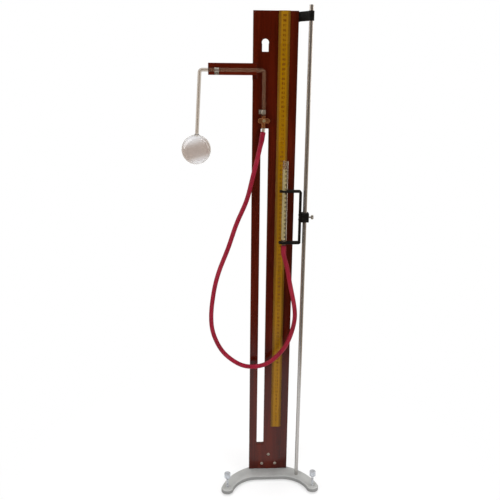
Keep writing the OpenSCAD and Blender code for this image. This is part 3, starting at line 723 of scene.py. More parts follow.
class ApparatusSizes(bpy.types.PropertyGroup):
    """Sizes that the pieces are drawn with."""

    hose_d: length("Hose", "Outside diameter of the hose", 10.5)
    hose_end: length("Hose end", "Outside diameter of the hose where it is stretched over a tube", 12.2)
    tube_d: length("Tube", "Outside diameter of the glass tube", 8)
    tube_bore: length("Tube bore", "Bore of the glass tube", 2)
    bulb_wall: length("Bulb wall", "Thickness of the bulb's glass", 1.5)
    wood_edge: length("Wood edge", "Rounding of the edges of the wood", 1.4)
    tick: length("Graduation", "Width of a graduation line on the metre scale", 0.28)
    figure: length("Figure", "Height of the figures on the metre scale", 5)
    casting_edge: length("Casting edge", "Rounding of the upper edge of the base casting", 3)


class ApparatusColours(bpy.types.PropertyGroup):
    """Colours of the finishes."""

    dark: tint("Wood, dark", "Dark bands of the varnished wood", paint(46, 7, 0))
    middle: tint("Wood", "Ground colour of the varnished wood", paint(61, 11, 1))
    light: tint("Wood, light", "Light bands of the varnished wood", paint(81, 21, 3))
    yellow: tint("Scale", "Ground colour of the metre scale", paint(129, 90, 2))
    yellow_dark: tint("Scale, grain", "Grain of the metre scale", paint(117, 81, 2))
    bevel: tint("Scale, bevels", "Bevelled edges of the metre scale", paint(110, 74, 5))
    ink: tint("Graduations", "Ink of the graduations", paint(38, 26, 10))
    figures: tint("Figures", "Ink of the figures", paint(84, 38, 0))
    glass: tint("Glass", "Glass of the stem", (0.52, 0.46, 0.4))
    # Painted reflection: the brown of the wood behind, mixed into the tube where it lies along the wood.
    glass_on_wood: tint("Glass on the wood", "Glass of the tube along the wood", (0.68, 0.42, 0.27))
    bulb: tint("Bulb", "Glass of the bulb", (0.66, 0.6, 0.56))
    # Painted highlights: the near-white colour of the bulb near its neck and its foot.
    bulb_end: tint("Bulb, ends", "Glass of the bulb near its neck and its foot", (0.93, 0.93, 0.94))
    outlet: tint("Outlet", "Glass of the outlet under the stopcock", (0.52, 0.45, 0.37))
    reservoir: tint("Reservoir", "Glass of the reservoir", (0.8, 0.74, 0.64))
    stripe: tint("Stripe", "Enamel stripe of the reservoir", paint(146, 133, 92))
    brass: tint("Brass", "Stopcock", (0.36, 0.14, 0.05))
    rod: tint("Rod", "Steel of the rod", (0.52, 0.5, 0.48))
    nickel: tint("Nickel", "Plated screws and clips", (0.42, 0.38, 0.32))
    plate: tint("Bright plate", "Levelling screws", (0.55, 0.575, 0.61))
    enamel: tint("Enamel", "Black brackets", paint(13, 11, 9))
    casting: tint("Casting", "Paint of the base", paint(168, 169, 167))
    hose: tint("Hose", "Rubber of the hose", paint(122, 9, 34))
    pad: tint("Pad", "Rubber of the rear pad", (0.012, 0.012, 0.012))


class ApparatusStage(bpy.types.PropertyGroup):
    """Light and camera."""

    key: power("Key", "Power of the main lamp", 30)
    fill: power("Fill", "Power of the side lamp", 17)
    top: power("Top", "Power of the lamp overhead", 54)
    card: power("Cards", "Power of the two cards that shine in glass", 14)
    lens: bpy.props.FloatProperty(
        name="Lens", description="Focal length of the camera", default=44.64, unit="CAMERA"
    )
    front: tint("Front", "Tone of the room straight in front", (0.06, 0.036, 0.022))
    side: tint("Sides", "Tone of the room at the sides", (0.42, 0.325, 0.235))
    above: tint("Above", "Tone of the room overhead", (0.6, 0.61, 0.63))


def size(name):
    """A size from the panel, in millimetres."""
    return getattr(bpy.context.scene.apparatus_sizes, name) * 1000


# Operators


class ApparatusOperator:
    """What the operators share: they work on the scene as it is and can be undone."""

    bl_options = {"REGISTER", "UNDO"}


class APPARATUS_OT_stage(ApparatusOperator, bpy.types.Operator):
    """Sets up the camera, the floor, the lamps and the pale surroundings"""

    bl_idname = "apparatus.stage"
    bl_label = "Stage"

    camera_place = (-0.0830026, -1.4084438, 1.0062704)
    camera_turn = (74.22941, -0.50720, -2.87923)
    object_middle = Vector((0, 0, 0.55))

    def execute(self, context):
        scene, stage = context.scene, context.scene.apparatus_stage
        scene.view_settings.view_transform = "Standard"
        camera = bpy.data.objects.new("camera", bpy.data.cameras.new("camera"))
        camera.data.lens = stage.lens
        camera.data.sensor_width = 36
        camera.location = self.camera_place
        camera.rotation_euler = [math.radians(a) for a in self.camera_turn]
        scene.collection.objects.link(camera)
        scene.camera = camera
        self.floor(scene, stage)
        self.surroundings(scene, stage)
        self.lamp(scene, "key_lamp", (-1.5, -1.6, 0.9), (1.2, 1.4), stage.key)
        self.lamp(scene, "fill_lamp", (1.3, -1.2, 0.5), (0.9, 0.9), stage.fill)
        self.lamp(scene, "top_lamp", (0.1, 0.1, 3.0), (1.6, 1.2), stage.top)
        for name, x in (("left_card", -1.41), ("right_card", 1.15)):
            self.lamp(scene, name, (x, 0.39, 1.64), (0.7, 2.0), stage.card, mirrored=True)
        return {"FINISHED"}

    def lamp(self, scene, name, place, sides, watts, mirrored=False):
        """Soft box that faces the object's middle. It lights and isn't mirrored, or is only mirrored."""
        data = bpy.data.lights.new(name, "AREA")
        data.shape, data.energy = "RECTANGLE", watts
        data.size, data.size_y = sides
        lamp = bpy.data.objects.new(name, data)
        lamp.location = place
        lamp.rotation_euler = (self.object_middle - Vector(place)).to_track_quat("-Z", "Y").to_euler()
        lamp.visible_diffuse, lamp.visible_glossy, lamp.visible_transmission = not mirrored, mirrored, False
        lamp.visible_camera = False
        scene.collection.objects.link(lamp)

    def floor(self, scene, stage):
        """Flat floor: pale near the object, where it takes the shadow, and white further out. Its mirror
        image is pale near the object and has the room's tone further out."""
        half, shadow, mirror = 9.0, (0.1, 0.65), (0.45, 0.8)
        mesh = bpy.data.meshes.new("floor")
        mesh.from_pydata(at_height(rectangle(-half, -half, half, half)).tolist(), [], [(0, 1, 2, 3)])
        floor = bpy.data.objects.new("floor", mesh)
        scene.collection.objects.link(floor)
        mesh.materials.append(bpy.data.materials.new("floor"))
        tree = NodeTree(mesh.materials[0]).emptied()
        where = tree.node("TexCoord").outputs["Object"]
        away = tree.measure("LENGTH", where)
        matt = tree.node("BsdfDiffuse", color=(0.86, 0.86, 0.86)).outputs[0]
        white = tree.node("Emission").outputs[0]
        fade = tree.number("MULTIPLY", tree.grey(away, 0.5, 1.0, *shadow, "SMOOTHSTEP"), self.seen(tree))
        plain = tree.node("MixShader", fade, matt, white).outputs[0]
        outward = tree.node("VectorMath", where, settings={"operation": "NORMALIZE"}).outputs["Vector"]
        far = tree.grey(away, 0.0, 1.0, *mirror, "SMOOTHSTEP")
        tone = tree.mix(far, (0.9, 0.9, 0.9), self.room(tree, outward, stage))
        image = tree.node("Emission", color=tone).outputs[0]
        path = tree.node("LightPath").outputs
        rays = (path["Is Glossy Ray"], path["Is Transmission Ray"])
        mirrored = tree.number("SUBTRACT", *rays, use_clamp=True)
        tree.node("OutputMaterial", tree.node("MixShader", mirrored, plain, image).outputs[0])

    def surroundings(self, scene, stage):
        """The room's tone all round, and white wherever the camera looks, through glass too."""
        scene.world = bpy.data.worlds.new("surroundings")
        tree = NodeTree(scene.world).emptied()
        where = tree.node("TexCoord").outputs["Generated"]
        tone = tree.mix(self.seen(tree), self.room(tree, where, stage), (1, 1, 1))
        tree.node("OutputWorld", tree.node("Background", color=tone).outputs[0])

    @staticmethod
    def seen(tree):
        """One where the camera looks, straight or through glass, and zero elsewhere."""
        path = tree.node("LightPath").outputs
        return tree.number("MAXIMUM", path["Is Camera Ray"], path["Is Transmission Ray"])

    @staticmethod
    def room(tree, way, stage):
        """Tone of the room by direction: dim straight in front, brighter at the sides and grey above."""
        apart = tree.parts(way)
        turn = tree.grey(apart["Y"], 0.0, 1.0, -1.0, 1.0)
        stops = ((0.0, stage.front), (0.04, stage.front), (0.2, stage.side), (1.0, stage.side))
        rise = tree.grey(apart["Z"], 0.0, 1.0, 0.2, 0.8, "SMOOTHSTEP")
        return tree.mix(rise, tree.ramp(turn, *stops), stage.above)


OUTLET_END = [[-25.547, -5.84, 883.509], [-27.027, -7.735, 874.837], [-28.508, -9.63, 866.164]]
LEFT_ROUTE = [
    [-34, -14, 842], [-38.5, -15.5, 822], [-44, -16, 800], [-52, -16, 766], [-61, -16, 732],
    [-70.5, -16, 708], [-81, -16, 684], [-93, -16, 650], [-105, -16, 614], [-119, -16, 578],
    [-131, -17, 541], [-140, -17, 494], [-144, -17, 448],
]
RIGHT_ROUTE = [
    [-141.5, -18, 416], [-133, -18, 388], [-117, -19, 359], [-94, -19, 336], [-67, -20, 321],
    [-40, -20, 317.5], [-12, -20, 324], [13, -21, 343], [37, -22, 375], [51, -23, 414],
    [56, -24, 446], [55, -25, 468], [50.5, -26, 494], [40.5, -26.5, 541], [31, -26.5, 585],
]
NOZZLE_END = [[25, -26.5, 609.75], [25, -26.5, 618.75], [25, -26.5, 627.75]]


class APPARATUS_OT_hose(ApparatusOperator, bpy.types.Operator):
    """Makes the rubber hose that hangs in a loop between the stopcock's outlet and the reservoir"""

    bl_idname = "apparatus.hose"
    bl_label = "Hose"

    def execute(self, context):
        curve = spline(OUTLET_END + LEFT_ROUTE + RIGHT_ROUTE + NOZZLE_END, 2.0)
        meet = int(np.argmin(np.linalg.norm(curve - LEFT_ROUTE[-1], axis=1)))
        whole = lengths(curve)[-1] / 1000
        for name, line, way in (("hose_left", curve[: meet + 1], 1), ("hose_right", curve[meet:][::-1], -1)):
            obj = self.run(name, line)
            self.follow(obj, whole, way)
            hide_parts(name + "_run")
            size("hose_d") / 1000
        return {"FINISHED"}

    @staticmethod
    def follow(obj, whole, way):
        """Lays the hose's points out straight, each ring at its distance from the outlet along the hose,
        bakes the object's transform into the mesh and puts the points back on their route."""
        points, grip = obj.data.vertices, 0.04
        route = np.empty(3 * len(points), np.float32)
        points.foreach_get("co", route)
        run = np.empty(len(points), np.float32)
        obj.data.attributes["run"].data.foreach_get("value", run)
        straight = np.zeros((len(points), 3), np.float32)
        straight[:, 2] = run if way > 0 else whole - run
        points.foreach_set("co", straight.ravel())
        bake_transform(obj)
        points.foreach_set("co", route)
        obj.data.update()

    @staticmethod
    def run(name, curve):
        """Tube along its curve: the end that grips a tube is wide, and from there the radius falls by a
        smooth step to the plain hose. The open end is a rounded lip, and a short bore shows inside it."""
        total, sides = lengths(curve)[-1], 40
        wide, plain, bore = size("hose_end") / 2, size("hose_d") / 2, size("tube_d") / 2 + 0.15
        gripped, taper, lip_r, bore_depth = 17, 15, 0.7, 6
        lip = arc([lip_r, wide - lip_r], lip_r, 180, 90, 5)
        along = np.r_[np.linspace(1.5, 34, 24), np.arange(36, total, 2.0), total]
        t = np.clip((along - gripped) / taper, 0, 1)
        body = wide + (plain - wide) * t * t * (3 - 2 * t)
        s = np.r_[bore_depth, 0.4, 0, lip[:, 0], along]
        r = np.r_[bore, bore, bore + 0.3, lip[:, 1], body]
        shape = rings(curve, s, r, sides)
        return piece(name, shape, "red_rubber", None, run=np.repeat(s / 1000, sides))


class APPARATUS_OT_woodwork(ApparatusOperator, bpy.types.Operator):
    """Makes the board with its slot and keyhole, the arm let into its edge and the cleat behind"""

    bl_idname = "apparatus.woodwork"
    bl_label = "Woodwork"

    def execute(self, context):
        self.wood("board_panel", "board", "board_wood", [self.board(), self.slot(), self.keyhole()])
        (left, _, low), (right, _, high) = node_box("arm")
        self.wood("tube_arm", "arm", "arm_wood", [rectangle(left, low, right, high)])
        self.wood("arm_cleat_block", "arm_cleat", "arm_wood", [self.cleat()])
        return {"FINISHED"}

    @staticmethod
    def wood(name, node, finish_name, loops):
        """Plate with rounded edges, as thick as its CAD node."""
        (_, front, _), (_, back, _) = node_box(node)
        shape = plate(loops, front, back, size("wood_edge"), FRONT)
        piece(name, shape, finish_name, "stand", [node])

    @staticmethod
    def board():
        """Outline of the board: a rectangle with a notch for the arm, which leaves a gap below it."""
        (left, _, low), (right, _, high) = node_box("board")
        (_, _, arm_low), (arm_right, _, arm_high) = node_box("arm")
        notch_low = arm_low - 7
        return np.array([
            [left, low], [right, low], [right, high], [left, high],
            [left, arm_high], [arm_right, arm_high], [arm_right, notch_low], [left, notch_low],
        ])

    @staticmethod
    def slot():
        """Outline of the long slot."""
        x, half, low, high, corner = -21.0, 8.75, 87.0, 891.0, 2.0
        return rounded(rectangle(x - half, low, x + half, high), corner)

    @staticmethod
    def keyhole():
        """Outline of the keyhole: an arc from one side of its neck over to the other, and its foot."""
        x, foot, eye_z, neck, eye = -22.0, 1055.0, 1074.0, 7.25, 8.0
        reach = math.degrees(math.acos(neck / eye))
        over = arc([x, eye_z], eye, 180 + reach, -reach, 28)
        return np.concatenate([[[x - neck, foot]], over, [[x + neck, foot]]])

    @staticmethod
    def cleat():
        """Outline of the cleat: a rectangle with a step where it passes the board's edge."""
        (edge, _, _), _ = node_box("board")
        (left, _, low), (right, _, high) = node_box("arm_cleat")
        step = 1007.25
        return np.array([[left, step], [edge, step], [edge, low], [right, low], [right, high], [left, high]])


# Strokes of the figures in a cell of this width and a height of 1, with a gap between cells
CELL, GAP = 0.6, 0.14
STROKES = {
    "0": [arc([0.3, 0.5], [0.25, 0.46], 90, 450, 14)],
    "1": [[[0.1, 0.74], [0.32, 0.96], [0.32, 0.04]]],
    "2": [np.r_[arc([0.3, 0.69], [0.25, 0.27], 165, -40, 7), [[0.06, 0.05], [0.56, 0.05]]]],
    "3": [arc([0.28, 0.73], [0.24, 0.23], 155, -90, 7), arc([0.28, 0.27], [0.27, 0.23], 90, -155, 7)],
    "4": [[[0.44, 0.04], [0.44, 0.96], [0.04, 0.32], [0.58, 0.32]]],
    "5": [np.r_[[[0.52, 0.95], [0.14, 0.95], [0.11, 0.55]], arc([0.28, 0.31], [0.27, 0.27], 118, -150, 8)]],
    "6": [np.r_[
        arc([0.56, 0.3], [0.51, 0.66], 100, 180, 4)[:-1], arc([0.3, 0.3], [0.25, 0.26], 180, 540, 10)
    ]],
    "7": [[[0.06, 0.95], [0.56, 0.95], [0.22, 0.04]]],
    "8": [arc([0.3, 0.73], [0.21, 0.22], 90, 450, 10), arc([0.3, 0.27], [0.26, 0.23], 90, 450, 10)],
    "9": [np.r_[
        arc([0.04, 0.7], [0.51, 0.66], -80, 0, 4)[:-1], arc([0.3, 0.7], [0.25, 0.26], 0, 360, 10)
    ]],
}


def stroke(line, width, thickness):
    """Printed line in the XZ plane: a thin rectangle carried along it, standing forward from y = 0."""
    return strip(at_depth(line), rectangle(-width / 2, 0, width / 2, -thickness), Y)


def figure(text, height, width, thickness):
    """Number drawn with strokes, its middle at the origin."""
    marks = []
    for k, digit in enumerate(text):
        shift = np.array([(k - len(text) / 2) * (CELL + GAP) + GAP / 2, -0.5])
        marks += [stroke((np.asarray(line) + shift) * height, width, thickness) for line in STROKES[digit]]
    return joined(marks)


def bar_box(low, high):
    """Plain thin box for a printed line: eight corners and six faces."""
    corner = np.array([[x, y, z] for x in (0, 1) for y in (0, 1) for z in (0, 1)])
    low, high = np.asarray(low, float), np.asarray(high, float)
    faces = [[0, 1, 3, 2], [4, 6, 7, 5], [0, 4, 5, 1], [2, 3, 7, 6], [0, 2, 6, 4], [1, 5, 7, 3]]
    return Shape(low + corner * (high - low), [(faces, False)]).outward()


class APPARATUS_OT_metre_scale(ApparatusOperator, bpy.types.Operator):
    """Makes the metre scale with its bevelled edges, graduations and figures"""

    bl_idname = "apparatus.metre_scale"
    bl_label = "Metre scale"

    def execute(self, context):
        (_, front, low), (_, _, high) = node_box("metre_scale")
        (middle, _, _), (half, _, _) = node_middle("metre_scale")
        rim, flat = front / 2, SCALE_FLAT
        section = [[half, 0], [-half, 0], [-half, rim], [-flat, front], [flat, front], [half, rim]]
        loop = rounded(section, [0.2, 0.2, 0.4, 0.8, 0.8, 0.4], steps=3) + [middle, 0]
        rule = plate([loop], low, high, 0.4, LEVEL, 2)
        piece("scale_rule", rule, "boxwood", "stand", ["metre_scale"])
        lines = self.lines(middle, half, rim, front, low, high)
        piece("scale_lines", lines, "black_ink", "stand")
        marks, bold, relief = [], 1.0, 0.06
        for k in range(1, int(round((high - low) / 10))):
            mark = figure(str(k), size("figure"), bold, relief)
            marks.append(mark.mapped(lambda p: p + [middle, front, low + 10 * k]))
        piece("scale_figures", joined(marks), "red_ink", "stand")
        return {"FINISHED"}

    @staticmethod
    def lines(middle, half, rim, front, low, high):
        """Graduations on both bevels: a line every millimetre from the rim, longer at each fifth and tenth.
        Each is a thin box sheared onto the bevel, whose front falls evenly from the flat to the rim. A line
        across the flat ends the scale below and above."""
        width, relief, inset, margin = size("tick"), 0.05, 0.15, 0.2
        at = np.arange(1, int(round(high - low)))
        tens, fives = at % 10 == 0, at % 5 == 0
        marks = []
        for rows, reach in ((at[tens], 5.4), (at[fives & ~tens], 4.2), (at[~fives], 3.0)):
            mark = bar_box([half - inset - reach, -relief, -width / 2], [half - inset, 0.0, width / 2])
            marks.append(repeated(mark, low + rows))
        one = joined(marks)
        slope = (rim - front) / (half - SCALE_FLAT)

        def onto(p, side):
            """Points moved to the bevel of one side and sheared onto it."""
            x, y, z = p.T
            return np.stack([middle + side * x, y + rim - slope * (half - x), z], -1)

        bevels = [one.mapped(lambda p: onto(p, side)).outward() for side in (-1, 1)]
        left, right = middle - SCALE_FLAT, middle + SCALE_FLAT
        ends = [bar_box([left, front - relief, z], [right, front, z + width])
                for z in (low + margin, high - margin - width)]
        return joined(bevels + ends)


class APPARATUS_OT_glassware(ApparatusOperator, bpy.types.Operator):
    """Makes the bulb with its bent tube, the stopcock's outlet and the reservoir with its graduations"""

    bl_idname = "apparatus.glassware"
    bl_label = "Glassware"

    def execute(self, context):
        for name, shape, finish_name, body, node in (
            ("bulb_tube", self.bulb(), "blown_glass", "stand", "bulb_and_tube"),
            ("stopcock_outlet", self.outlet(), "outlet_glass", "stand", "outlet_tube"),
            ("reservoir_tube", self.reservoir(), "reservoir_glass", "carriage", "reservoir"),
        ):
            piece(name, shape, finish_name, body, [node], sharp=60)
        piece("reservoir_stripe", self.stripe(), "milk_glass", "carriage")
        piece("reservoir_lines", self.graduations(), "black_ink", "carriage")
        return {"FINISHED"}

    @staticmethod
    def bulb():
        """Bent tube and blown bulb as one wall. The curve goes up the upright run, along the level run and
        down the stem to the bulb's far side. Outside, the radius is the tube's, opens in a hollow neck and
        follows the sphere to its pole; inside, it is the bore's and then the inner sphere's."""
        bend, past, sides, pole = 6.0, 2, 64, 0.02
        turn = math.pi / 2 - STEM_LEAN
        tangent = bend * math.tan(turn / 2)
        corner = np.array([STEM_X, TUBE_TOP])
        first = arc([TUBE_X - bend, TUBE_TOP - bend], bend, 0, 90, 16)
        second = arc(corner + [tangent, -bend], bend, 90, 90 + math.degrees(turn), 16)
        start, end = corner + STEM_WAY * tangent, corner + STEM_WAY * (STEM_LENGTH + BULB_R + past)
        stem = start + (end - start) * np.linspace(0, 1, 40)[1:, None]
        curve = at_depth(np.concatenate([[[TUBE_X, TUBE_FOOT]], first, second, stem]), TUBE_Y)
        d = lengths(curve)
        centre = d[-1] - BULB_R - past
        tube = d[: len(first) + len(second)]

        def side(radius, ball, fillet):
            """One side of the wall: the tube, a neck that touches tube and sphere, and the sphere."""
            gap = math.sqrt((ball + fillet) ** 2 - (radius + fillet) ** 2)
            touch = math.degrees(math.atan2(radius + fillet, gap))
            neck = arc([centre - gap, radius + fillet], fillet, -90, -touch, 10)
            sphere = arc([centre, 0], ball, 180 - touch, 0, 72)
            sphere[-1, 1] = pole
            straight = np.linspace(tube[-1], neck[0, 0], 14)[1:-1]
            s = np.r_[tube, straight, neck[:-1, 0], sphere[:, 0]]
            r = np.r_[np.full(len(tube) + len(straight), radius), neck[:-1, 1], sphere[:, 1]]
            return rings(curve, s, r, sides)

        outside = side(size("tube_d") / 2, BULB_R, 5.0)
        inside = side(size("tube_bore") / 2, BULB_R - size("bulb_wall"), 2.5)
        count = len(outside.points)
        ring = np.arange(sides)
        mouth = np.stack([ring + count, np.roll(ring, -1) + count, np.roll(ring, -1), ring], -1)
        (wall_out, _), (end_out, _), (pole_out, _) = outside.faces
        (wall_in, _), (_, _), (pole_in, _) = inside.faces
        if end_out[0, 0] < end_out[0, 1]:
            mouth = mouth[:, ::-1]
        walls = [(np.concatenate([wall_out, wall_in[:, ::-1] + count, mouth]), True),
                 (np.concatenate([pole_out, pole_in[:, ::-1] + count]), True)]
        return Shape(np.concatenate([outside.points, inside.points]), walls).outward()

    @staticmethod
    def outlet():
        """Short bent tube: upright in the stopcock, then an arc of 15.5 degrees to the left and front, and a
        straight end in the hose. The wall is wrapped from the outside radius to the bore and back."""
        lean, way = math.radians(15.5), math.radians(232)
        upright, bend, straight, hose_at = 7.9, 10.0, 23.0, 12.0
        outer, gripped, bore = 4.0, 3.8, 1.5
        side = np.array([math.cos(way), math.sin(way), 0])
        a = np.linspace(0, lean, 9)
        top = np.array([TUBE_X, TUBE_Y, 891.0])
        bow = top + bend * (1 - np.cos(a))[:, None] * side - bend * np.sin(a)[:, None] * Z
        tip = bow[-1] + straight * (math.sin(lean) * side - math.cos(lean) * Z)
        curve = np.concatenate([[top + upright * Z], bow, [tip]])
        total = lengths(curve)[-1]
        bent, held = np.linspace(upright, upright + bend * lean, 9), np.linspace(hose_at, total - 0.6, 8)
        along = np.r_[0, bent, held]
        s = np.r_[along, total - 0.2, total, total, total - 0.2, along[::-1]]
        lip = np.r_[gripped - 0.1, gripped - 0.5, bore + 0.5, bore + 0.2]
        r = np.r_[np.where(along <= hose_at, outer, gripped), lip, np.full(len(along), bore)]
        return rings(curve, s, r, 48, wrap=True)

    @staticmethod
    def reservoir():
        """Open tube on a nozzle, turned from one closed profile: up the outside over a round shoulder,
        over a fire-polished rim that is a little thicker than the wall, and down the inside."""
        seat, top, tip, out, bore, nozzle, passage = 636.25, 184.9, -26.5, RESERVOIR_R, 5.0, 4.0, 1.5
        shoulder = arc([out - nozzle, nozzle], out - nozzle, 180, 90, 10)
        rim = arc([top, (out + bore) / 2], [1.1, 0.8], 90, -90, 12)
        inner = arc([4.75, passage], bore - passage, 90, 180, 10)
        tall, neck = np.linspace(6, 182, 14), -8
        up, down = np.c_[tall, np.full(len(tall), out)], np.c_[tall[::-1], np.full(len(tall), bore)]
        foot_out = [[tip, nozzle - 0.3], [tip + 0.4, nozzle], [neck, nozzle]]
        foot_in = [[neck, passage], [tip + 0.4, passage], [tip, passage + 0.3]]
        profile = np.concatenate([foot_out, shoulder, up, rim, down, inner, foot_in])
        return turned([RESERVOIR_X, RESERVOIR_Y, seat], Z, profile, 64, wrap=True)

    @staticmethod
    def stripe():
        """Enamel stripe on the front left of the reservoir: a thin shell between two arcs, carried up it."""
        low, high, start, end = 642.0, 804.0, 190, 287
        out = arc([RESERVOIR_X, RESERVOIR_Y], RESERVOIR_R + 0.06, start, end, 24)
        close = arc([RESERVOIR_X, RESERVOIR_Y], RESERVOIR_R + 0.005, end, start, 24)
        return plate([np.concatenate([out, close])], low, high, 0.01, LEVEL, 1)

    @staticmethod
    def graduations():
        """Millimetre lines along the stripe, longer at each fifth, and a figure beside each tenth. Flat
        marks are bent round the glass: distance across becomes an angle."""
        low, figures, last, lines_x, figures_x = 649.3, 16, 38, -1.7, 1.3
        figure_tall, figure_bold, figure_relief = 3.9, 1.45, 0.13
        at = np.arange(-5, 10 * figures - 6)
        marks = []
        for rows, reach, bold in ((at[at % 5 > 0], 1.2, 0.2), (at[at % 5 == 0], 1.9, 0.3)):
            line = stroke(np.c_[np.linspace(lines_x - reach, lines_x, 5), np.zeros(5)], bold, 0.04)
            marks.append(repeated(line, low + rows))
        for k in range(figures):
            number = figure(str(last - k), figure_tall, figure_bold, figure_relief)
            marks.append(number.mapped(lambda p: p + [figures_x, 0, low + 10 * k]))

        def bent(p):
            """Points of a flat mark bent round the glass."""
            r, a = RESERVOIR_R + 0.055 - p[:, 1], p[:, 0] / RESERVOIR_R
            return np.stack([RESERVOIR_X + r * np.sin(a), RESERVOIR_Y - r * np.cos(a), p[:, 2]], -1)

        return joined(marks).mapped(bent)


class APPARATUS_OT_stopcock(ApparatusOperator, bpy.types.Operator):
    """Makes the brass stopcock: its body with the barrel, the gland nut and the key with its wing"""

    bl_idname = "apparatus.stopcock"
    bl_label = "Stopcock"

    def execute(self, context):
        body = joined([self.pipe(), self.barrel()])
        piece("stopcock_barrel", body, "old_brass", "stand", ["stopcock_body"])
        hexagon = rounded(arc([TUBE_X, KEY_Z], 6.35, 0, 300, 5), 0.5, steps=3)
        nut = plate([hexagon], -16, -12, 0.5, FRONT)
        piece("stopcock_nut", nut, "old_brass", "stand", ["gland_nut"])
        piece("stopcock_wing", self.key(), "key_brass", "stopcock_key", ["stopcock_key"])
        return {"FINISHED"}

    @staticmethod
    def pipe():
        """Upright pipe with a bead at each end, turned as one wrapped wall."""
        low, tall, pipe, bead, bore = 893.0, 26, 4.4, 4.8, 4.05
        foot = [[0, 4.1], [0, 4.5], [0.3, bead], [2.6, bead], [2.9, 4.55], [3.4, pipe], [8, pipe]]
        head = [[23, pipe], [23.3, 4.55], [23.6, bead], [25.7, bead], [tall, 4.5], [tall, 4.1]]
        return turned([TUBE_X, TUBE_Y, low], Z, foot + head + [[23, bore], [3, bore]], 48, wrap=True)

    @staticmethod
    def barrel():
        """Barrel across the pipe, turned with a collar at the board and a wider one in front."""
        back, waist, collar, front = 0.05, 5.9, 6.2, 6.5
        corners = [[back, 0], [back, collar], [2.0, collar], [2.0, waist],
                   [9.4, waist], [9.4, front], [12, front], [12, 0]]
        profile = rounded(corners, [0, 0.4, 0.2, 0.2, 0.2, 0.5, 0.6, 0], closed=False)
        return turned([TUBE_X, 0, KEY_Z], -Y, profile, 64)

    @staticmethod
    def key():
        """Key: a turned stem, a wing outlined by the outer edge of three discs in a row, and a low boss."""
        disc, apart, thin = 5.75, 7.5, 0.0004
        barrel_front, wing_front, wing_back, stem_r = -12, -19.8, -16.3, 2.5
        stem = turned([TUBE_X, barrel_front, KEY_Z], -Y, [[-6, stem_r], [4.0, stem_r], [5.5, stem_r]], 40)
        a = np.radians(np.arange(0, 360, 3.0))
        across = (disc + apart) * np.cos(a)
        edges = [np.sqrt(np.clip(disc**2 - (across - c) ** 2, thin, None)) for c in (-apart, 0, apart)]
        tall = np.max(edges, axis=0)
        outline = np.stack([TUBE_X + across, KEY_Z + np.sign(np.sin(a) + 1e-9) * tall], -1)
        wing = plate([outline], wing_front, wing_back, 1.1, FRONT)
        dome = rounded([[0, 0], [0, 4.4], [0.8, 3.6], [0.8, 0]], [0, 0, 0.5, 0], closed=False)
        return joined([stem, wing, turned([TUBE_X, wing_front + 0.2, KEY_Z], -Y, dome, 48)])


class APPARATUS_OT_fixings(ApparatusOperator, bpy.types.Operator):
    """Makes the two tube clips and finishes the screws"""

    bl_idname = "apparatus.fixings"
    bl_label = "Clips and screws"

    def execute(self, context):
        clip = self.saddle()
        on_arm, on_board = -127.5, 927.5
        arm = clip.mapped(lambda p: np.stack([on_arm + p[:, 2], -p[:, 1], TUBE_TOP + p[:, 0]], -1))
        board = clip.mapped(lambda p: np.stack([TUBE_X + p[:, 0], -p[:, 1], on_board + p[:, 2]], -1))
        piece("clip_on_arm", arm.outward(), "nickel", "stand", ["arm_clip"])
        piece("clip_on_board", board.outward(), "nickel", "stand", ["board_clip"])
        for node in ("board_screws", "cleat_screws", "clip_screws", "top_bracket_screws"):
            dress(node, "nickel")
        dress("bracket_screws", "black_enamel")
        return {"FINISHED"}

    @staticmethod
    def saddle():
        """Clip bent from strip: an ear on the wood, a rise beside the tube, a half circle over it and a
        short leg down to the wood, with a rounded rectangular section carried along it."""
        r, ear, half_t, half_w = 4.5, -10.65, 0.4, 4.75
        rise = rounded([[ear, half_t], [-r, half_t], [-r, r]], [0, 1.0, 0], closed=False)
        over = arc([0, r], r, 180, 0, 24)[1:]
        line = np.concatenate([rise, over, [[r, 0.02]]])
        section = rounded(rectangle(-half_t, -half_w, half_t, half_w), 0.3, steps=3)
        return strip(at_height(line), section, Z)


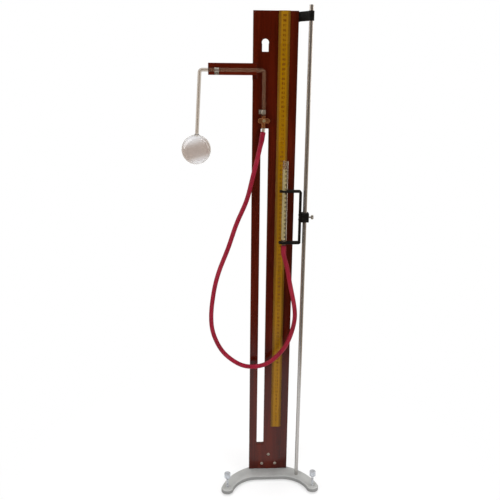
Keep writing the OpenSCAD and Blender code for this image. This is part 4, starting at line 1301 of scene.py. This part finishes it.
class APPARATUS_OT_rod(ApparatusOperator, bpy.types.Operator):
    """Makes the steel rod, the top bracket and the carriage that slides on the rod"""

    bl_idname = "apparatus.rod"
    bl_label = "Rod and carriage"

    def execute(self, context):
        (x, y, _), (r, _, half) = node_middle("rod")
        low = node_box("rod")[0][2]
        profile = rounded([[0, 0], [0, r], [2 * half, r], [2 * half, 0]], [0, 0.6, 0.9, 0], closed=False)
        rod = turned([x, y, low], Z, profile, 64)
        piece("steel_rod", rod, "rod_steel", "stand", ["rod"])
        bore = r + 0.05
        for name, shape, body, node in (
            ("rod_bracket", self.bracket(x, y, bore), "stand", "top_bracket"),
            ("rod_clamp", self.clamp(x, y, bore), "carriage", "clamp_block"),
            ("reservoir_bracket", self.holder(), "carriage", "carriage_bracket"),
        ):
            piece(name, shape, "black_enamel", body, [node])
        screw = self.thumb_screw()
        piece("clamp_thumb_screw", screw, "nickel", "thumb_screw", ["thumb_screw"])
        return {"FINISHED"}

    @staticmethod
    def bracket(x, y, bore):
        """Strip on the board's edge that bends forward to the rod, and the ring that it ends in."""
        (_, _, low), (_, _, high) = node_box("top_bracket")
        edge, back, half_t, ring, half = 50.5, 12, 1.5, 6.25, (high - low) / 2
        line = rounded([[edge, back], [edge, 0], [x, y]], [0, 3.0, 0], closed=False, steps=8)
        path = at_height(line, (low + high) / 2)
        section = rounded(rectangle(-half_t, -half, half_t, half), 0.7, steps=4)
        corners = [[0, bore], [0, ring], [2 * half, ring], [2 * half, bore]]
        eye = turned([x, y, low], Z, rounded(corners, [0, 0.8, 0.8, 0], closed=False), 64, wrap=True)
        return joined([strip(path[:-1], section, Z), strip(path[-2:], section, Z), eye])

    @staticmethod
    def clamp(x, y, bore):
        """Block with rounded upright edges and a hole for the rod."""
        (x0, y0, z0), (x1, y1, z1) = node_box("clamp_block")
        return plate([rounded(rectangle(x0, y0, x1, y1), 2.0), round_hole(x, y, bore)], z0, z1, 1.0, LEVEL)

    @staticmethod
    def holder():
        """Strip bent to a U: two arms with a hole for the reservoir, and the upright with its two bends."""
        (x0, y0, z0), (x1, y1, z1) = node_box("carriage_bracket")
        middle, half_w = (y0 + y1) / 2, (y1 - y0) / 2
        t, bend, edge, overlap = 4.5, 5.0, 0.7, 0.4
        half_t, join = t / 2, x1 - bend
        outline = rounded(rectangle(x0, y0, join + overlap, y1), [4.0, 0, 0, 4.0])
        arms = [plate([outline, round_hole(RESERVOIR_X, middle, hole)], low, low + t, edge, LEVEL)
                for low, hole in ((z0, 4.1), (z1 - t, 6.35))]
        low, high, out, inner = z0 + half_t, z1 - half_t, x1 - half_t, bend - half_t - 0.05
        line = rounded([[join, low], [out, low], [out, high], [join, high]], [0, inner, inner, 0], False, 10)
        section = rounded(rectangle(-half_t, -half_w, half_t, half_w), edge, steps=4)
        return joined(arms + [strip(at_depth(line, middle), section, Y)])

    @staticmethod
    def thumb_screw():
        """Turned screw: a plain shank and a knurled head with a dished face."""
        (tip, _, _), (end, _, _) = node_box("thumb_screw")
        (_, y, z), _ = node_middle("thumb_screw")
        head, face, shank, r, margin = end - 5, end - 0.5, 2, 5, 0.9
        corners = [[tip, 0], [tip, shank], [head, shank], [head, r],
                   [end, r], [end, 3.4], [face, 3.2], [face, 0]]
        profile = rounded(corners, [0, 0.5, 0.4, 0.6, 0.6, 0.2, 0.2, 0], closed=False)
        profile = with_rim(profile, head + margin, end - margin, r, 5)
        return turned([0, y, z], X, profile, 120, knurl=(30, 0.35, head + margin - 0.1, end - margin + 0.1))


class APPARATUS_OT_base(ApparatusOperator, bpy.types.Operator):
    """Makes the cast base with its lug and rib, the rear pad and the levelling screws"""

    bl_idname = "apparatus.base"
    bl_label = "Base"

    def execute(self, context):
        piece("cast_base", self.casting(), "silver_paint", "stand", ["base_casting"])
        piece("rear_pad", self.pad(), "black_rubber", "stand", ["rear_foot_pad"])
        for side in ("left", "right"):
            node = side + "_levelling_screw"
            screw = self.level_screw(node)
            piece(side + "_level_screw", screw, "bright_plate", node, [node])
        return {"FINISHED"}

    @staticmethod
    def casting():
        """Base plate between two rounded feet: outside an arc of 127 mm, in front an arch of two 64 mm arcs
        with a straight middle, and behind a tapering leg. On it stand the lug, the rib and a ring round the
        bore of each foot."""
        plate_y, plate_r, foot_r, foot_rise, arch_r, leg_x = -108.0, 127.0, 15.0, 35.0, 64.0, 34.0
        foot = np.array([math.sqrt((plate_r - foot_r) ** 2 - foot_rise**2), plate_y + foot_rise])
        arch = np.array([31.5, -97.0])
        out = math.degrees(math.atan2(foot_rise, foot[0]))
        inner = math.degrees(math.atan2(foot[1] - arch[1], foot[0] - arch[0]))
        leg = math.degrees(math.acos(leg_x / plate_r))
        right = np.concatenate([
            arc(arch, arch_r, 90, inner, 24),
            arc(foot, foot_r, 180 + inner, 360 + out, 24),
            arc([0, plate_y], plate_r, out, leg, 30)[1:],
            [[33.5, 24]],
            arc([0, 82], foot_r, 4, 90, 12),
        ])
        loop = np.concatenate([right, (right[::-1] * [-1, 1])[1:]])
        low, high, sunk = 4.0, BOARD_FOOT, BOARD_FOOT - 2
        bed = plate([loop], low, high, (1.0, size("casting_edge")), LEVEL, 5)
        lug = rounded(rectangle(-32, sunk, 32, 72), [0, 0, 9, 9])
        rib = np.array([[20, sunk], [69, sunk], [20, 66]])
        back = plate([lug], 12, 22, (0.4, 2.5), FRONT)
        web = plate([rib], -4, 4, 1.5, [Y, Z, X])
        ring = rounded([[0, 3.05], [0, 8.6], [2.6, 7.6], [2.6, 3.05]], [0, 0, 1.0, 0.3], closed=False)
        rings_on_feet = [turned([x, foot[1], high - 1], Z, ring, 48, wrap=True) for x in (-foot[0], foot[0])]
        return joined([bed, back, web] + rings_on_feet)

    @staticmethod
    def pad():
        """Round rubber pad with a shallow hollow underneath, turned."""
        (x, y, _), (r, _, _) = node_middle("rear_foot_pad")
        high, hollow = node_box("rear_foot_pad")[1][2], 0.4
        corners = [[hollow, 0], [hollow, r * 0.5], [0, r * 0.55], [0, r], [high, r], [high, 0]]
        return turned([x, y, 0], Z, rounded(corners, [0, 0.2, 0.2, 0.8, 0.5, 0], closed=False), 48)

    @staticmethod
    def level_screw(node):
        """Turned screw: blunt tip, threaded shank as a fine wave of the radius, and a knurled head."""
        (x, y, _), (r, _, _) = node_middle(node)
        high = node_box(node)[1][2]
        head, face, core, wave, margin = high - 12, high - 0.8, 2.8, 0.12, 1.0
        thread = np.linspace(2, head - 1, 240)
        tip = [[0, 0], [0, 1.6], [0.5, 2.2], [1.2, core]]
        shank = np.c_[thread, core + wave / 2 + wave * np.cos(2 * np.pi * thread)]
        corners = [[head, 0], [head, r], [high, r], [high, r * 0.6], [face, r * 0.55], [face, 0]]
        top = rounded(corners, [0, 0.7, 0.7, 0.3, 0.3, 0], closed=False)
        top = with_rim(top, head + margin, high - margin, r, 6)
        knob = turned([x, y, 0], Z, top, 144, knurl=(36, 0.4, head + margin - 0.1, high - margin + 0.1))
        return joined([turned([x, y, 0], Z, np.concatenate([tip, shank, [[head + 1, core]]]), 32), knob])


class APPARATUS_PT_panel(bpy.types.Panel):
    """Lists the steps that build the apparatus, its sizes, its colours and the stage"""

    bl_label = "Charles law apparatus"
    bl_space_type = "VIEW_3D"
    bl_region_type = "UI"
    bl_category = "Apparatus"

    def draw(self, context):
        for operator in OPERATORS:
            self.layout.operator(operator.bl_idname)
        for name in GROUPS:
            group = getattr(context.scene, name)
            box = self.layout.box()
            for key in group.__annotations__:
                box.prop(group, key)


GROUPS = {
    "apparatus_sizes": ApparatusSizes,
    "apparatus_colours": ApparatusColours,
    "apparatus_stage": ApparatusStage,
}
OPERATORS = (
    APPARATUS_OT_stage,
    APPARATUS_OT_hose,
    APPARATUS_OT_woodwork,
    APPARATUS_OT_metre_scale,
    APPARATUS_OT_glassware,
    APPARATUS_OT_stopcock,
    APPARATUS_OT_fixings,
    APPARATUS_OT_rod,
    APPARATUS_OT_base,
)


def register():
    """Registers the settings, the operators and the panel."""
    for name, group in GROUPS.items():
        bpy.utils.register_class(group)
        setattr(bpy.types.Scene, name, bpy.props.PointerProperty(type=group))
    for cls in (*OPERATORS, APPARATUS_PT_panel):
        bpy.utils.register_class(cls)


def unregister():
    """Removes what register added."""
    for cls in (APPARATUS_PT_panel, *reversed(OPERATORS)):
        bpy.utils.unregister_class(cls)
    for name, group in GROUPS.items():
        delattr(bpy.types.Scene, name)
        bpy.utils.unregister_class(group)


def main():
    """Builds every piece in order."""
    register()
    for operator in OPERATORS:
        group, name = operator.bl_idname.split(".")
        getattr(getattr(bpy.ops, group), name)()


if __name__ == "__main__":
    main()
